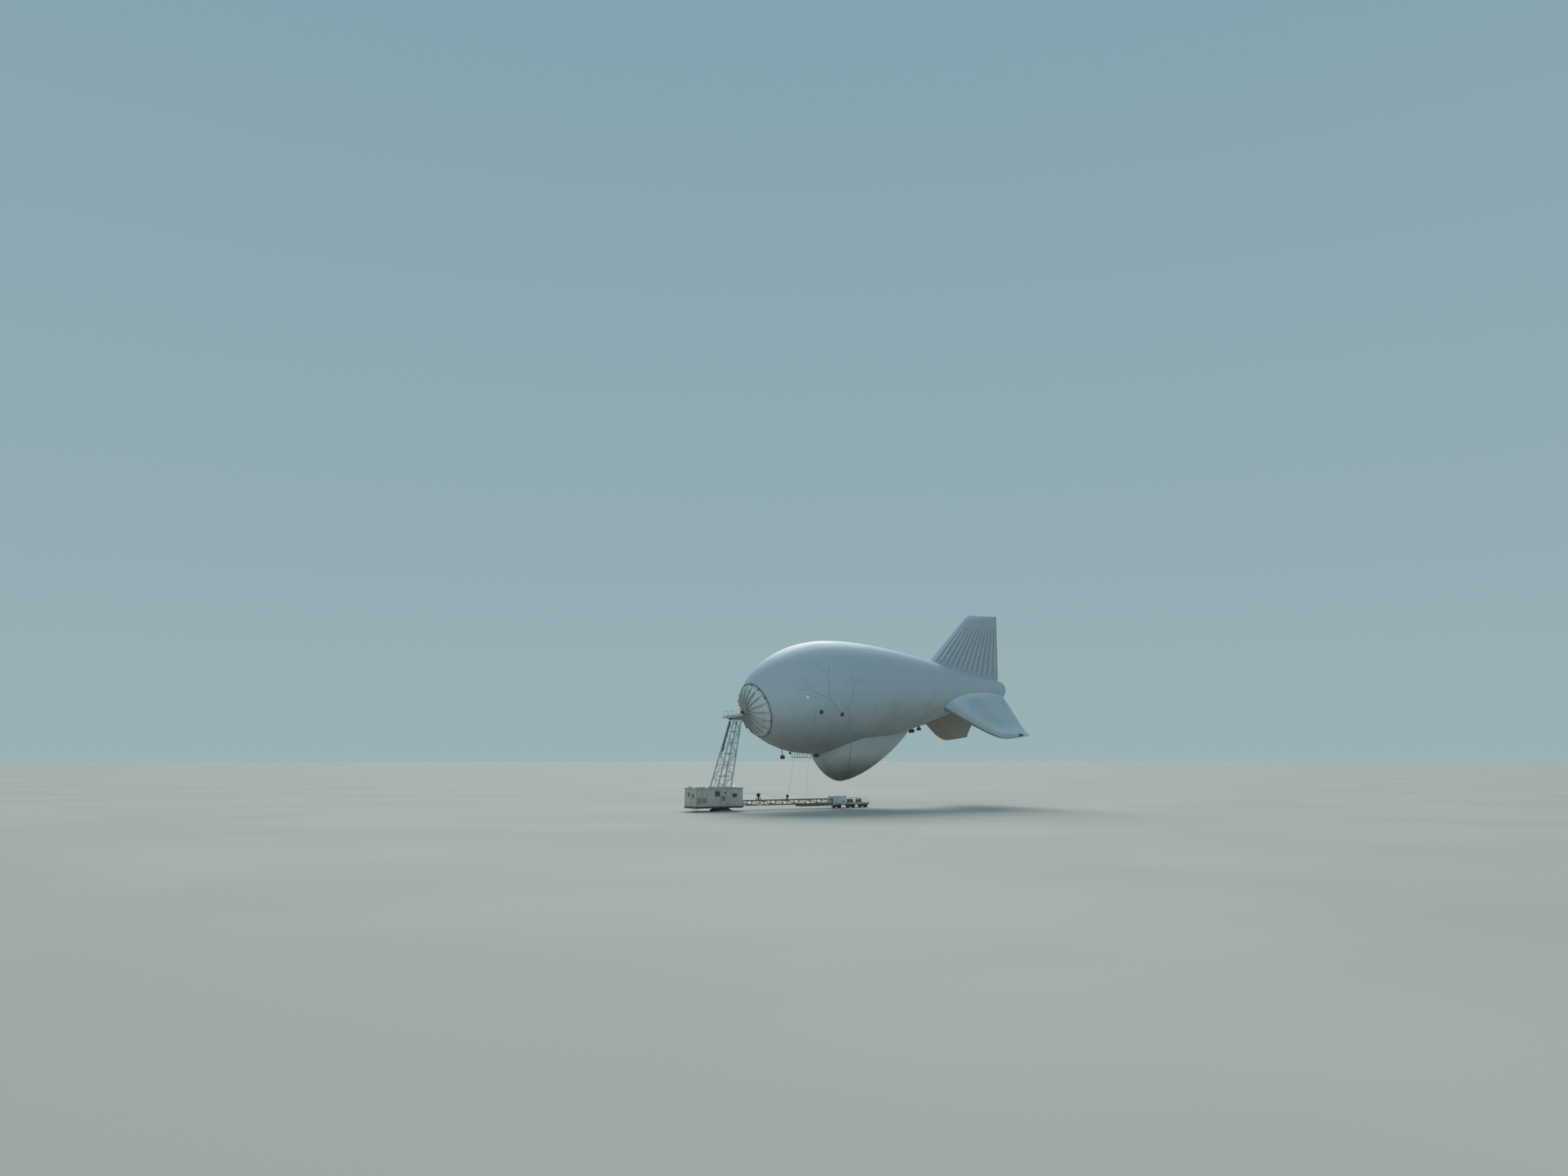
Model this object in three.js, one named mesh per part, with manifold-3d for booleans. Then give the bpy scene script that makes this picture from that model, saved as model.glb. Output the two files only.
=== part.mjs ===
// A tethered radar aerostat docked by its nose on a turning mooring machine.
//
// The machine is drawn at half its real size. X runs forward, towards the side that the nose points to,
// Y to port and Z up. The origin is on the ground under the pivot that the machine turns on.
// The aerostat is built in a frame of its own: X runs forward along its axis from the tip of the nose.

import * as THREE from 'three';
import { mergeVertices } from 'three/addons/utils/BufferGeometryUtils.js';
import Module from 'manifold-3d';

const wasm = await Module();
wasm.setup();

// Driving dimensions. Sizes of the real machine are in metres, times this many model millimetres.
const metre = 500;
// Walls and gaps that belong to the model itself are in model millimetres.
const skin = 10;
const gap = 0.4;

// Hull: a half ellipse in front, a long tapering stern and a rounded tail.
const hullLength = 63.5 * metre;
const hullRadius = 10.59 * metre;
const noseLength = 16.85 * metre;
const tailRadius = 1.9 * metre;
const sternPower = 1.676;
const sternFullness = 1.51;
const hullRise = 0.76 * metre;
const hullSides = 32;
const noseTip = new THREE.Vector3(-5.0 * metre, 0, 18.92 * metre);
const tailUp = THREE.MathUtils.degToRad(4.15);

// Windscreen: the bulge under the belly that covers the radar. Its powers shape the width and depth.
const screenFront = 15.39 * metre;
const screenWidest = 21.88 * metre;
const screenLowest = 21.68 * metre;
const screenRear = 37.18 * metre;
const screenHalfWidth = 6.19 * metre;
const screenTop = -10.2 * metre;
const screenBottom = -16.14 * metre;
const screenRearEnd = -7.2 * metre;
const screenPowers = { frontWidth: 0.304, rearTurn: 1.19, rearWidth: 0.686, frontDepth: 0.81, rearDepth: 1.6 };

// Fins: each is a flat, ribbed, air filled wing. `droop` is its angle below the horizontal, its plane passes
// the hull's axis at `offset`, and `tip` is its reach from there, with `tipDrop` lost at the trailing edge.
// The leading edge leaves a reach of 6.3 m at `lead`, and the trailing edge a reach of 2 m at `trail`.
const finColumns = ['name', 'side', 'droop', 'offset', 'tip', 'tipDrop', 'lead', 'sweep', 'trail', 'trailLean'];
const fins = [
  ['fin_top', 1, -90, 0, 15.5, 0.15, 44.3, 1.168, 62.4, 0.06],
  ['fin_port', 1, 54, 1.4, 13.7, 0.6, 43.8, 1.29, 60.9, 0.04],
  ['fin_starboard', -1, 54, 1.4, 13.7, 0.6, 43.8, 1.29, 60.9, 0.04],
].map((row) => Object.fromEntries(row.map((value, i) => [finColumns[i], value])));
const finCells = 14;
const finRootHalf = 1.15 * metre;
const finTipHalf = 0.5 * metre;
const finTipRound = 1.5;

// Valves in the hull's skin: metres aft of the nose, and degrees above the port horizontal.
const valveRadius = 0.3 * metre;
const valves = [
  { name: 'valve_front_port', s: 10.2, angle: -15.7 },
  { name: 'valve_rear_port', s: 14.4, angle: -19.0 },
  { name: 'valve_front_starboard', s: 10.2, angle: 195.7 },
  { name: 'valve_rear_starboard', s: 14.4, angle: 199.0 },
];

// Nose cap: stiff radial battens on the nose, round the hub that the mast holds, and a lacing ring.
const capDroop = THREE.MathUtils.degToRad(12);
const capRadius = 5.1 * metre;
const capBattens = 18;
const battenReaches = [0.3 * metre, 1.6 * metre, 2.9 * metre, 4.1 * metre];
const battenWidth = 0.24 * metre;
const battenHeight = 0.5 * metre;
const hubRadius = 0.75 * metre;
const hubReach = 0.62 * metre;
const ringWidth = 0.24 * metre;
const ringHeight = 60;

// Gear under the belly: places in metres aft of the nose.
const unitPlace = 7.3 * metre;
const lampPlace = 9.1 * metre;
const frameFront = 9.6 * metre;
const frameRear = 13.4 * metre;
const ventPlace = 14.85 * metre;
const blowerFront = { s: 38.2 * metre, length: 1.0 * metre, drop: 0.55 * metre, radius: 0.36 * metre };
const blowerRear = { s: 40.1 * metre, length: 0.8 * metre, drop: 0.72 * metre, radius: 0.26 * metre };
const ductFront = 41.2 * metre;
const ductRear = 48.8 * metre;
const ductRadius = 0.22 * metre;

// Mooring machine: levels above the ground.
const pedestalTop = 0.40 * metre;
const ringBottom = 0.41 * metre;
const ringTop = 0.56 * metre;
const deckTop = 0.86 * metre;
const houseTop = 3.94 * metre;
const roofTop = 4.06 * metre;

// Machinery house and the control cabin behind it.
const houseFront = 6.0 * metre;
const houseRear = -0.1 * metre;
const cabinRear = -3.28 * metre;
const houseHalf = 2.1 * metre;
const wall = 60;
const roofEdge = 40;
const sill = 0.22 * metre;
const deckFront = houseFront + 0.1 * metre;
const deckRear = cabinRear - 0.12 * metre;
const deckCrossings = [deckRear + sill / 2, -1.4 * metre, 0, 1.4 * metre, 3.8 * metre, deckFront - sill / 2];

// Windows in the side walls: middle along X, height of the middle, width, height and side, in metres.
const houseWindows = [
  [1.83, 3.05, 0.9, 0.85, 1],
  [0.6, 2.2, 0.6, 0.7, 1],
  [1.83, 3.05, 0.9, 0.85, -1],
];
const cabinWindows = [
  [-1.67, 2.73, 0.9, 0.62, 1],
  [-1.67, 2.73, 0.9, 0.62, -1],
];
// Windows in the end walls: middle along Y, height of the middle, width and height, in metres.
const frontWindows = [
  [-0.71, 2.94, 0.5, 0.68],
  [0.96, 2.7, 0.55, 0.65],
];
const rearWindows = [
  [0.9, 2.73, 0.9, 0.62],
  [-0.9, 2.73, 0.9, 0.62],
];
const roundWindow = { x: 0.28 * metre, z: 3.22 * metre, radius: 0.175 * metre };
const doorway = { x: 3.1 * metre, z: 1.95 * metre, width: 0.9 * metre, height: 2.0 * metre };
const doorStand = 10.5;
const doorThick = 30;
const doorLap = 25;
const domePlace = -2.78 * metre;

// Mast: a leaning lattice of four legs, with a head that carries the latch.
const mastFoot = new THREE.Vector3(0, 0, 4.12 * metre);
const mastTop = new THREE.Vector3(-2.97 * metre, 0, 15.95 * metre);
const mastFootHalf = 1.35 * metre;
const mastTopHalf = 0.75 * metre;
const mastBays = 6;
const mastLeg = 0.22 * metre;
const mastBrace = 0.11 * metre;
const headRear = new THREE.Vector3(-0.65 * metre, 0, 16.5 * metre);
const headFront = new THREE.Vector3(-4.1 * metre, 0, 17.02 * metre);
const headWidth = 1.3 * metre;
const headDepth = 0.42 * metre;

// Boom under the hull: a truss, then a low deck that carries the winches and stands on wheels.
const boomBottom = 0.80 * metre;
const boomTop = 1.78 * metre;
const boomFront = deckRear - gap;
const boomEnd = -23.8 * metre;
const boomHalf = 0.85 * metre;
const boomBays = 8;
const boomChord = 0.16 * metre;
const boomWeb = 0.09 * metre;
const boomDeckEnd = -32.0 * metre;
const boomDeckHalf = 1.2 * metre;
const boomDeckTop = 0.95 * metre;
const boomDeckLow = 0.55 * metre;
const cabinets = [
  { x: -7.6 * metre, low: 0.84 * metre, high: 1.62 * metre },
  { x: -4.4 * metre, low: 0.84 * metre, high: 1.4 * metre },
];

// Wheels under the boom's end, which roll round the pivot, so that their axles lie along X.
const truckPlaces = [-25.2 * metre, -28.4 * metre, -31.3 * metre];
const wheelRadius = 0.26 * metre;
const wheelWidth = 0.6 * metre;
const wheelTrack = 0.85 * metre;
const axleRadius = 24;
const axleGap = 2.5;

// Winch house on the boom's deck, and the two haul winches behind it.
const winchHouse = { rear: -26.9 * metre, front: -23.95 * metre, half: 0.8 * metre, top: 2.2 * metre };
const winchWall = 40;
const winchDoorway = { x: -26.2 * metre, half: 0.36 * metre, low: 1.06 * metre, top: 2.0 * metre };
const winchVent = { x: -26.25 * metre, z: 1.2 * metre, half: 0.14 * metre };
const drumPlaces = [-28.3 * metre, -30.3 * metre];
const drumLevel = boomDeckTop + 0.42 * metre;
const drumHalf = 0.42 * metre;
const drumRadius = 0.3 * metre;

// Sheaves on the boom that guide the tether.
const tetherSheave = { x: -14.15 * metre, level: 2.36 * metre, radius: 0.28 * metre };
const guideSheave = { x: -7.9 * metre, level: 2.62 * metre, radius: 0.37 * metre };
const sheaveHalf = 28;
const sheaveGroove = 34;
const sheavePin = 15;

// Colours and finishes.
const finish = (color, roughness, metalness = 0) => (
  new THREE.MeshStandardMaterial({ color, roughness, metalness }));
const paints = {
  fabric: () => finish(0xc9cdd1, 0.75),
  screen: () => finish(0x8f918f, 0.8),
  batten: () => finish(0xb9bcb8, 0.5, 0.4),
  duct: () => finish(0x2b2926, 0.8),
  dark: () => finish(0x2d2c2b, 0.6, 0.4),
  mast: () => finish(0xc4c4bc, 0.5, 0.5),
  house: () => finish(0xb7b3a6, 0.6, 0.3),
  roof: () => finish(0xa9a69b, 0.6, 0.3),
  white: () => finish(0xdfe6ea, 0.5, 0.2),
  steel: () => finish(0x55534f, 0.6, 0.6),
  tyre: () => finish(0x191919, 0.9),
};

// Shapes.

const point = (x, y, z) => new THREE.Vector3(x, y, z);
const upward = point(0, 0, 1);

/** Turns a closed geometry into a solid that can be joined and cut, with its faces outwards. */
function solid(geometry) {
  const bare = geometry.clone();
  bare.deleteAttribute('normal');
  bare.deleteAttribute('uv');
  const merged = mergeVertices(bare, 1e-3);
  const positions = Float32Array.from(merged.attributes.position.array);
  const kept = [];
  for (let i = 0; i < merged.index.count; i += 3) {
    const corners = [0, 1, 2].map((k) => merged.index.getX(i + k));
    if (new Set(corners).size === 3) kept.push(...corners);
  }
  if (volume(positions, kept) < 0) kept.reverse();
  return new wasm.Manifold(new wasm.Mesh({
    numProp: 3,
    vertProperties: positions,
    triVerts: Uint32Array.from(kept),
  }));
}

/** Signed volume inside a list of triangles. */
function volume(positions, index) {
  let sum = 0;
  const [a, b, c] = [point(0, 0, 0), point(0, 0, 0), point(0, 0, 0)];
  for (let i = 0; i < index.length; i += 3) {
    a.fromArray(positions, 3 * index[i]);
    b.fromArray(positions, 3 * index[i + 1]);
    c.fromArray(positions, 3 * index[i + 2]);
    sum += a.dot(b.cross(c)) / 6;
  }
  return sum;
}

/** Turns a solid back into a geometry. */
function shape(body) {
  const mesh = body.getMesh();
  const geometry = new THREE.BufferGeometry();
  geometry.setAttribute('position', new THREE.BufferAttribute(new Float32Array(mesh.vertProperties), 3));
  geometry.setIndex(new THREE.BufferAttribute(new Uint32Array(mesh.triVerts), 1));
  return geometry;
}

const join = (...bodies) => bodies.flat().reduce((whole, next) => whole.add(next));

/** A geometry of points and triangles. */
function mesh(points, index) {
  const geometry = new THREE.BufferGeometry();
  const positions = points.flatMap((p) => [p.x, p.y, p.z]);
  geometry.setAttribute('position', new THREE.Float32BufferAttribute(positions, 3));
  geometry.setIndex(index);
  return geometry;
}

/** A block between two corners. */
function block(low, high) {
  const size = [0, 1, 2].map((i) => high[i] - low[i]);
  const geometry = new THREE.BoxGeometry(...size);
  geometry.translate(...[0, 1, 2].map((i) => (low[i] + high[i]) / 2));
  return solid(geometry);
}

/** A round bar between two points. */
function bar(from, to, radius, sides = 16) {
  const way = new THREE.Vector3().subVectors(to, from);
  const geometry = new THREE.CylinderGeometry(radius, radius, way.length(), sides);
  geometry.translate(0, way.length() / 2, 0);
  geometry.applyQuaternion(new THREE.Quaternion().setFromUnitVectors(point(0, 1, 0), way.normalize()));
  geometry.translate(from.x, from.y, from.z);
  return solid(geometry);
}

/** A rectangular beam between two points; its height lies as near to `up` as it can. */
function beam(from, to, width, height, up = upward) {
  const along = new THREE.Vector3().subVectors(to, from);
  const length = along.length();
  along.normalize();
  const across = new THREE.Vector3().crossVectors(up, along).normalize();
  const top = new THREE.Vector3().crossVectors(along, across);
  const geometry = new THREE.BoxGeometry(length, width, height);
  geometry.translate(length / 2, 0, 0);
  geometry.applyMatrix4(new THREE.Matrix4().makeBasis(along, across, top));
  geometry.translate(from.x, from.y, from.z);
  return solid(geometry);
}

/** A turned solid: the profile lists radius and place along the axis, which leaves `from` along `way`. */
function turned(profile, from, way, sides = 24) {
  const geometry = new THREE.LatheGeometry(profile.map(([r, along]) => new THREE.Vector2(r, along)), sides);
  geometry.applyQuaternion(new THREE.Quaternion().setFromUnitVectors(point(0, 1, 0), way));
  geometry.translate(from.x, from.y, from.z);
  return solid(geometry);
}

/** Triangles over a flat end ring. */
function endCap(ring) {
  const normal = point(0, 0, 0);
  ring.forEach((p, i) => normal.add(new THREE.Vector3().crossVectors(p, ring[(i + 1) % ring.length])));
  normal.normalize();
  const u = new THREE.Vector3().subVectors(ring[1], ring[0]).normalize();
  const v = new THREE.Vector3().crossVectors(normal, u);
  return THREE.ShapeUtils.triangulateShape(ring.map((p) => new THREE.Vector2(p.dot(u), p.dot(v))), []);
}

/** A solid through rings of as many points each. A ring of one point closes an end, others are capped. */
function loft(rings) {
  const index = [];
  const starts = [];
  rings.reduce((start, ring) => {
    starts.push(start);
    return start + ring.length;
  }, 0);
  for (let r = 0; r + 1 < rings.length; r += 1) {
    const [a, b] = [starts[r], starts[r + 1]];
    const [wideA, wideB] = [rings[r].length > 1, rings[r + 1].length > 1];
    const count = Math.max(rings[r].length, rings[r + 1].length);
    for (let i = 0; i < count; i += 1) {
      const j = (i + 1) % count;
      if (wideA) index.push(a + i, a + j, b + (wideB ? j : 0));
      if (wideB) index.push(a + (wideA ? i : 0), b + j, b + i);
    }
  }
  const last = rings.length - 1;
  if (rings[0].length > 1) {
    endCap(rings[0]).forEach(([a, b, c]) => index.push(a, c, b));
  }
  if (rings[last].length > 1) {
    endCap(rings[last]).forEach(([a, b, c]) => index.push(starts[last] + a, starts[last] + b, starts[last] + c));
  }
  return solid(mesh(rings.flat(), index));
}

/** A solid through rings that close on themselves. */
function hoop(rings) {
  const sides = rings[0].length;
  const index = [];
  rings.forEach((ring, i) => {
    const [a, b] = [sides * i, sides * ((i + 1) % rings.length)];
    for (let k = 0; k < sides; k += 1) {
      const next = (k + 1) % sides;
      index.push(a + k, a + next, b + next, a + k, b + next, b + k);
    }
  });
  return solid(mesh(rings.flat(), index));
}

/** A named sub-part. */
function piece(name, body, material) {
  const part = new THREE.Mesh(shape(body), material);
  part.name = name;
  return part;
}

// Hull. `s` is the distance aft of the nose.

/** Radius of the hull at `s`. */
function radiusAt(s) {
  if (s <= 0 || s >= hullLength) return 0;
  if (s < noseLength) return hullRadius * Math.sqrt(1 - ((noseLength - s) / noseLength) ** 2);
  const u = (s - noseLength) / (hullLength - noseLength);
  const taper = tailRadius + (hullRadius - tailRadius) * (1 - u ** sternPower) ** sternFullness;
  const left = hullLength - s;
  return left < tailRadius ? taper * Math.sqrt(1 - ((tailRadius - left) / tailRadius) ** 2) : taper;
}

/** How far the hull's centre line stands above the straight axis at `s`. */
const riseAt = (s) => 4 * hullRise * (s / hullLength) * (1 - s / hullLength);

/** The hull's lowest level at `s`. */
const bellyAt = (s) => riseAt(s) - radiusAt(s);

/** Places of the hull's rings, crowded where the form turns fast. */
function hullStations() {
  const nose = [0.12, 0.25, 0.38, 0.52, 0.68, 0.84, 1].map((f) => noseLength * (1 - Math.cos(f * Math.PI / 2)));
  const sternEnd = hullLength - tailRadius;
  const stern = Array.from({ length: 10 }, (_, i) => noseLength + (i + 1) / 10 * (sternEnd - noseLength));
  const tail = [0.45, 0.75, 0.95].map((f) => sternEnd + f * tailRadius);
  return [...nose, ...stern, ...tail];
}

/** The hull as a full solid, grown outwards by `extra`. */
function hullBody(extra) {
  const rings = hullStations().map((s) => {
    const ahead = s < noseLength ? extra * (1 - s / noseLength) : 0;
    const behind = s > hullLength - tailRadius ? extra * 0.7 : 0;
    return Array.from({ length: hullSides }, (_, i) => {
      const turn = 2 * Math.PI * i / hullSides;
      const radius = radiusAt(s) + extra;
      return point(ahead - s - behind, radius * Math.cos(turn), riseAt(s) + radius * Math.sin(turn));
    });
  });
  return loft([[point(extra, 0, 0)], ...rings, [point(-hullLength - extra, 0, 0)]]);
}

const hullRoom = hullBody(gap);

/** A point on the hull at `s`, at an angle above the port horizontal in degrees. */
function onHull(s, degrees) {
  const turn = THREE.MathUtils.degToRad(degrees);
  return point(-s, radiusAt(s) * Math.cos(turn), riseAt(s) + radiusAt(s) * Math.sin(turn));
}

/** The outward direction of the hull at `s` and an angle. */
function outward(s, degrees) {
  const turn = THREE.MathUtils.degToRad(degrees);
  const step = 10;
  const slope = (radiusAt(s + step) - radiusAt(s - step)) / (2 * step);
  return point(slope, Math.cos(turn), Math.sin(turn)).normalize();
}

/** A round bar across the hull's skin at a valve. */
function valveCore(valve, radius, inside, outside) {
  const foot = onHull(valve.s * metre, valve.angle);
  const way = outward(valve.s * metre, valve.angle);
  return bar(foot.clone().addScaledVector(way, -inside), foot.clone().addScaledVector(way, outside), radius);
}

const valveBore = (valve) => valveCore(valve, valveRadius + gap, 150, 150);

function hullEnvelope() {
  const shell = hullBody(0).subtract(hullBody(-skin));
  return shell.subtract(join(valves.map(valveBore)));
}

/** A valve: a plug through the skin with a flange that lies on it. */
function valvePiece(valve) {
  const plug = valveCore(valve, valveRadius, 60, 40);
  const flange = valveCore(valve, valveRadius * 1.3, -8, 36);
  const grown = hullRoom.subtract(hullBody(-skin - gap));
  return join(plug, flange).subtract(grown.subtract(valveBore(valve)));
}

// Windscreen.

/** Half the windscreen's width at `s`. */
function screenWidthAt(s) {
  const { frontWidth, rearTurn, rearWidth } = screenPowers;
  if (s < screenWidest) {
    const u = (screenWidest - s) / (screenWidest - screenFront);
    return screenHalfWidth * (1 - u * u) ** frontWidth;
  }
  const u = (s - screenWidest) / (screenRear - screenWidest);
  return screenHalfWidth * (1 - u ** rearTurn) ** rearWidth;
}

/** The windscreen's lowest level at `s`, without the hull's rise. */
function screenBottomAt(s) {
  const { frontDepth, rearDepth } = screenPowers;
  if (s < screenLowest) {
    const u = (screenLowest - s) / (screenLowest - screenFront);
    return screenTop + (screenBottom - screenTop) * (1 - u * u) ** frontDepth;
  }
  const u = (s - screenLowest) / (screenRear - screenLowest);
  return screenBottom + (screenRearEnd - screenBottom) * u ** rearDepth;
}

/** The windscreen as a full solid whose top lies inside the hull, shrunk by `less`. */
function screenBody(less) {
  const steps = [0.006, 0.03, 0.07, 0.13, 0.2, 0.28, 0.38, 0.49, 0.6, 0.71, 0.82, 0.9, 0.96, 0.99];
  const sides = 16;
  const cover = 0.9 * metre;
  const rings = steps.map((f) => {
    const s = screenFront + less + f * (screenRear - screenFront - 2 * less);
    const half = Math.max(screenWidthAt(s) - less, 4);
    const seam = -Math.sqrt(Math.max(radiusAt(s) ** 2 - half ** 2, 0));
    const depth = Math.max(seam - screenBottomAt(s) - less, 4);
    const lower = Array.from({ length: sides + 1 }, (_, i) => {
      const turn = Math.PI * i / sides;
      return point(-s, half * Math.cos(turn), riseAt(s) + seam - depth * Math.sin(turn));
    });
    const upper = [-0.8, 0.8].map((side) => point(-s, side * half, riseAt(s) + seam + cover + less));
    return [...lower, ...upper];
  });
  return loft(rings);
}

const windscreen = () => screenBody(0).subtract(screenBody(skin)).subtract(hullRoom);

// Fins.

/** One fin's section at `reach`: where it starts and ends, and half its thickness. */
function finSection(fin, v, reach, less) {
  const corner = Math.max(0, (reach / metre - (fin.tip - finTipRound)) / finTipRound);
  const round = 1.9 * (1 - Math.sqrt(Math.max(0, 1 - corner * corner)));
  const near = Math.max(0, (v - 0.9) / 0.1);
  const thickness = THREE.MathUtils.lerp(finRootHalf, finTipHalf, v) * Math.sqrt(Math.max(0.02, 1 - near * near));
  return {
    lead: (fin.lead + fin.sweep * (reach / metre - 6.3) + round) * metre + 3 * less,
    trail: (fin.trail + fin.trailLean * (reach / metre - 2)) * metre - 3 * less,
    half: thickness - less,
  };
}

/** A fin as a full solid whose root lies inside the hull; `less` shrinks it and `ribbed` gives its cells. */
function finBody(fin, less, ribbed) {
  const droop = THREE.MathUtils.degToRad(fin.droop);
  const span = point(0, fin.side * Math.cos(droop), -Math.sin(droop));
  const thick = point(0, fin.side * Math.sin(droop), Math.cos(droop));
  const rootReach = (less ? 0.7 : 1.0) * metre;
  const tipReach = fin.tip * metre - less;
  const perCell = ribbed ? 2 : 1;
  const count = (ribbed ? finCells : 7) * perCell;
  const stations = ribbed ? [0, 0.3, 0.6, 0.82, 0.93, 0.975, 1] : [0, 0.4, 0.75, 0.93, 0.985];
  return loft(stations.map((v) => {
    const reach = THREE.MathUtils.lerp(rootReach, tipReach, v);
    const { lead, trail, half } = finSection(fin, v, reach, less);
    const swell = ribbed ? 0.1 * (trail - lead) / finCells * Math.min(1, half / finTipHalf) : 0;
    const heightAt = (k) => {
      if (k === 0 || k === count) return 0;
      return Math.max(half, 2) * (1 - Math.abs(2 * k / count - 1) ** 2.6) ** 0.5 + (k % perCell ? swell : 0);
    };
    const at = (k, sign) => {
      const out = reach - v * fin.tipDrop * metre * k / count;
      const p = point(-THREE.MathUtils.lerp(lead, trail, k / count), 0, riseAt(hullLength * 0.85));
      return p.addScaledVector(thick, fin.offset * metre + sign * heightAt(k)).addScaledVector(span, out);
    };
    const upper = Array.from({ length: count + 1 }, (_, k) => at(k, 1));
    const lower = Array.from({ length: count - 1 }, (_, k) => at(count - 1 - k, -1));
    return [...upper, ...lower];
  }));
}

const finPiece = (fin) => finBody(fin, 0, true).subtract(finBody(fin, skin, false)).subtract(hullRoom);

// Nose cap.

const capForward = point(Math.cos(capDroop), 0, -Math.sin(capDroop));
const capAcross = point(0, 1, 0);
const capUp = new THREE.Vector3().crossVectors(capForward, capAcross).negate();
const capHeart = point(-0.35 * noseLength, 0, 0).addScaledVector(capForward, -0.1 * metre);

/** The way across the cap at an angle round its axis. */
const capRadial = (turn) => capAcross.clone().multiplyScalar(Math.cos(turn)).addScaledVector(capUp, Math.sin(turn));

/** The point of the hull that lies `reach` from the cap's axis, at an angle round it. */
function onCap(reach, turn) {
  const start = capHeart.clone().addScaledVector(capRadial(turn), reach);
  let [low, high] = [-6 * metre, 12 * metre];
  for (let i = 0; i < 40; i += 1) {
    const middle = (low + high) / 2;
    const p = start.clone().addScaledVector(capForward, middle);
    const inside = -p.x > 0 && Math.hypot(p.y, p.z - riseAt(-p.x)) < radiusAt(-p.x);
    if (inside) low = middle;
    else high = middle;
  }
  return start.addScaledVector(capForward, low);
}

/** The outward direction of the hull at a point of the cap. */
function capOutward(reach, turn) {
  const step = 60;
  const along = new THREE.Vector3().subVectors(onCap(reach + step, turn), onCap(Math.max(reach - step, 0), turn));
  const side = new THREE.Vector3().crossVectors(capForward, along).normalize();
  const way = new THREE.Vector3().crossVectors(along, side).normalize();
  return way.dot(capForward) < 0 ? way.negate() : way;
}

const hubFoot = onCap(0, 0);
const hubFace = hubFoot.clone().addScaledVector(capForward, hubReach);

function noseBattens() {
  const root = 80;
  const battens = Array.from({ length: capBattens }, (_, i) => {
    const turn = 2 * Math.PI * (i + 0.5) / capBattens;
    const side = new THREE.Vector3().crossVectors(capForward, capRadial(turn)).normalize();
    return loft(battenReaches.map((reach, k) => {
      const foot = onCap(reach, turn);
      const way = capOutward(reach, turn);
      const height = battenHeight * (k === battenReaches.length - 1 ? 0.75 : 1);
      const corner = (along, up) => (
        foot.clone().addScaledVector(side, along * battenWidth / 2).addScaledVector(way, up));
      return [corner(-1, -root), corner(1, -root), corner(1, height), corner(-1, height)];
    }));
  });
  const hub = bar(hubFoot.clone().addScaledVector(capForward, -0.1 * metre), hubFace, hubRadius, 24);
  return join(hub, battens).subtract(hullRoom);
}

/** The lacing ring round the cap's edge. */
function noseRing() {
  const steps = 28;
  const corners = [[-1, -1], [1, -1], [1, 1], [-1, 1]];
  return hoop(Array.from({ length: steps }, (_, i) => {
    const turn = 2 * Math.PI * i / steps;
    const way = capOutward(capRadius, turn);
    return corners.map(([across, up]) => (
      onCap(capRadius + across * ringWidth / 2, turn).addScaledVector(way, up * ringHeight / 2)));
  })).subtract(hullRoom);
}

// Gear under the belly.

/** A dark unit on a strut under the nose. */
function bellyUnit() {
  const level = bellyAt(unitPlace);
  const strut = bar(
    point(-unitPlace, 0, level + 0.2 * metre), point(-unitPlace - 0.1 * metre, 0, level - 1.35 * metre), 0.1 * metre, 12);
  const head = block(
    [-unitPlace - 0.45 * metre, -0.3 * metre, level - 2.0 * metre],
    [-unitPlace + 0.3 * metre, 0.3 * metre, level - 1.3 * metre]);
  return join(strut, head).subtract(hullRoom);
}

function bellyLamp() {
  const level = bellyAt(lampPlace);
  const ball = new THREE.SphereGeometry(0.24 * metre, 16, 10);
  ball.translate(-lampPlace, 0, level - 0.42 * metre);
  const stem = bar(
    point(-lampPlace, 0, level + 0.2 * metre), point(-lampPlace, 0, level - 0.4 * metre), 0.07 * metre, 8);
  return join(solid(ball), stem).subtract(hullRoom);
}

/** A frame of tubes under the belly, which falls towards the windscreen. */
function bellyFrame() {
  const tube = 0.05 * metre;
  const sides = 6;
  const half = 0.5 * metre;
  const levelAt = (s) => (
    bellyAt(frameRear) - 0.72 * metre + 0.3 * metre * (frameRear - s) / (frameRear - frameFront));
  const rails = [-half, half].map((y) => bar(
    point(-frameFront, y, levelAt(frameFront)), point(-frameRear, y, levelAt(frameRear)), tube, sides));
  const inset = 0.19 * metre;
  const places = [0, 1, 2, 3].map((i) => THREE.MathUtils.lerp(frameFront + inset, frameRear - inset, i / 3));
  const hangers = places.flatMap((s) => [-half, half].map((y) => bar(
    point(-s, y, levelAt(s)), point(-s, 0.6 * y, bellyAt(s) + 0.3 * metre), tube, sides)));
  const ties = places.map((s) => beam(point(-s, -half, levelAt(s)), point(-s, half, levelAt(s)), tube, tube));
  return join(rails, hangers, ties).subtract(hullRoom);
}

/** A dark box at the windscreen's front edge. */
function screenVent() {
  const half = 0.36 * metre;
  const level = bellyAt(ventPlace);
  return block([-ventPlace - half, -half, level - 0.62 * metre], [-ventPlace + half, half, level + 0.3 * metre])
    .subtract(hullRoom);
}

/** A blower hung under the belly on a short neck. */
function blower({ s, length, drop, radius }) {
  const neck = 0.2 * metre;
  const level = bellyAt(s) - drop;
  const drum = bar(point(-s + length / 2, 0, level), point(-s - length / 2, 0, level), radius, 16);
  return join(drum, block([-s - neck, -neck, level], [-s + neck, neck, bellyAt(s) + 0.3 * metre]))
    .subtract(hullRoom);
}

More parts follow.
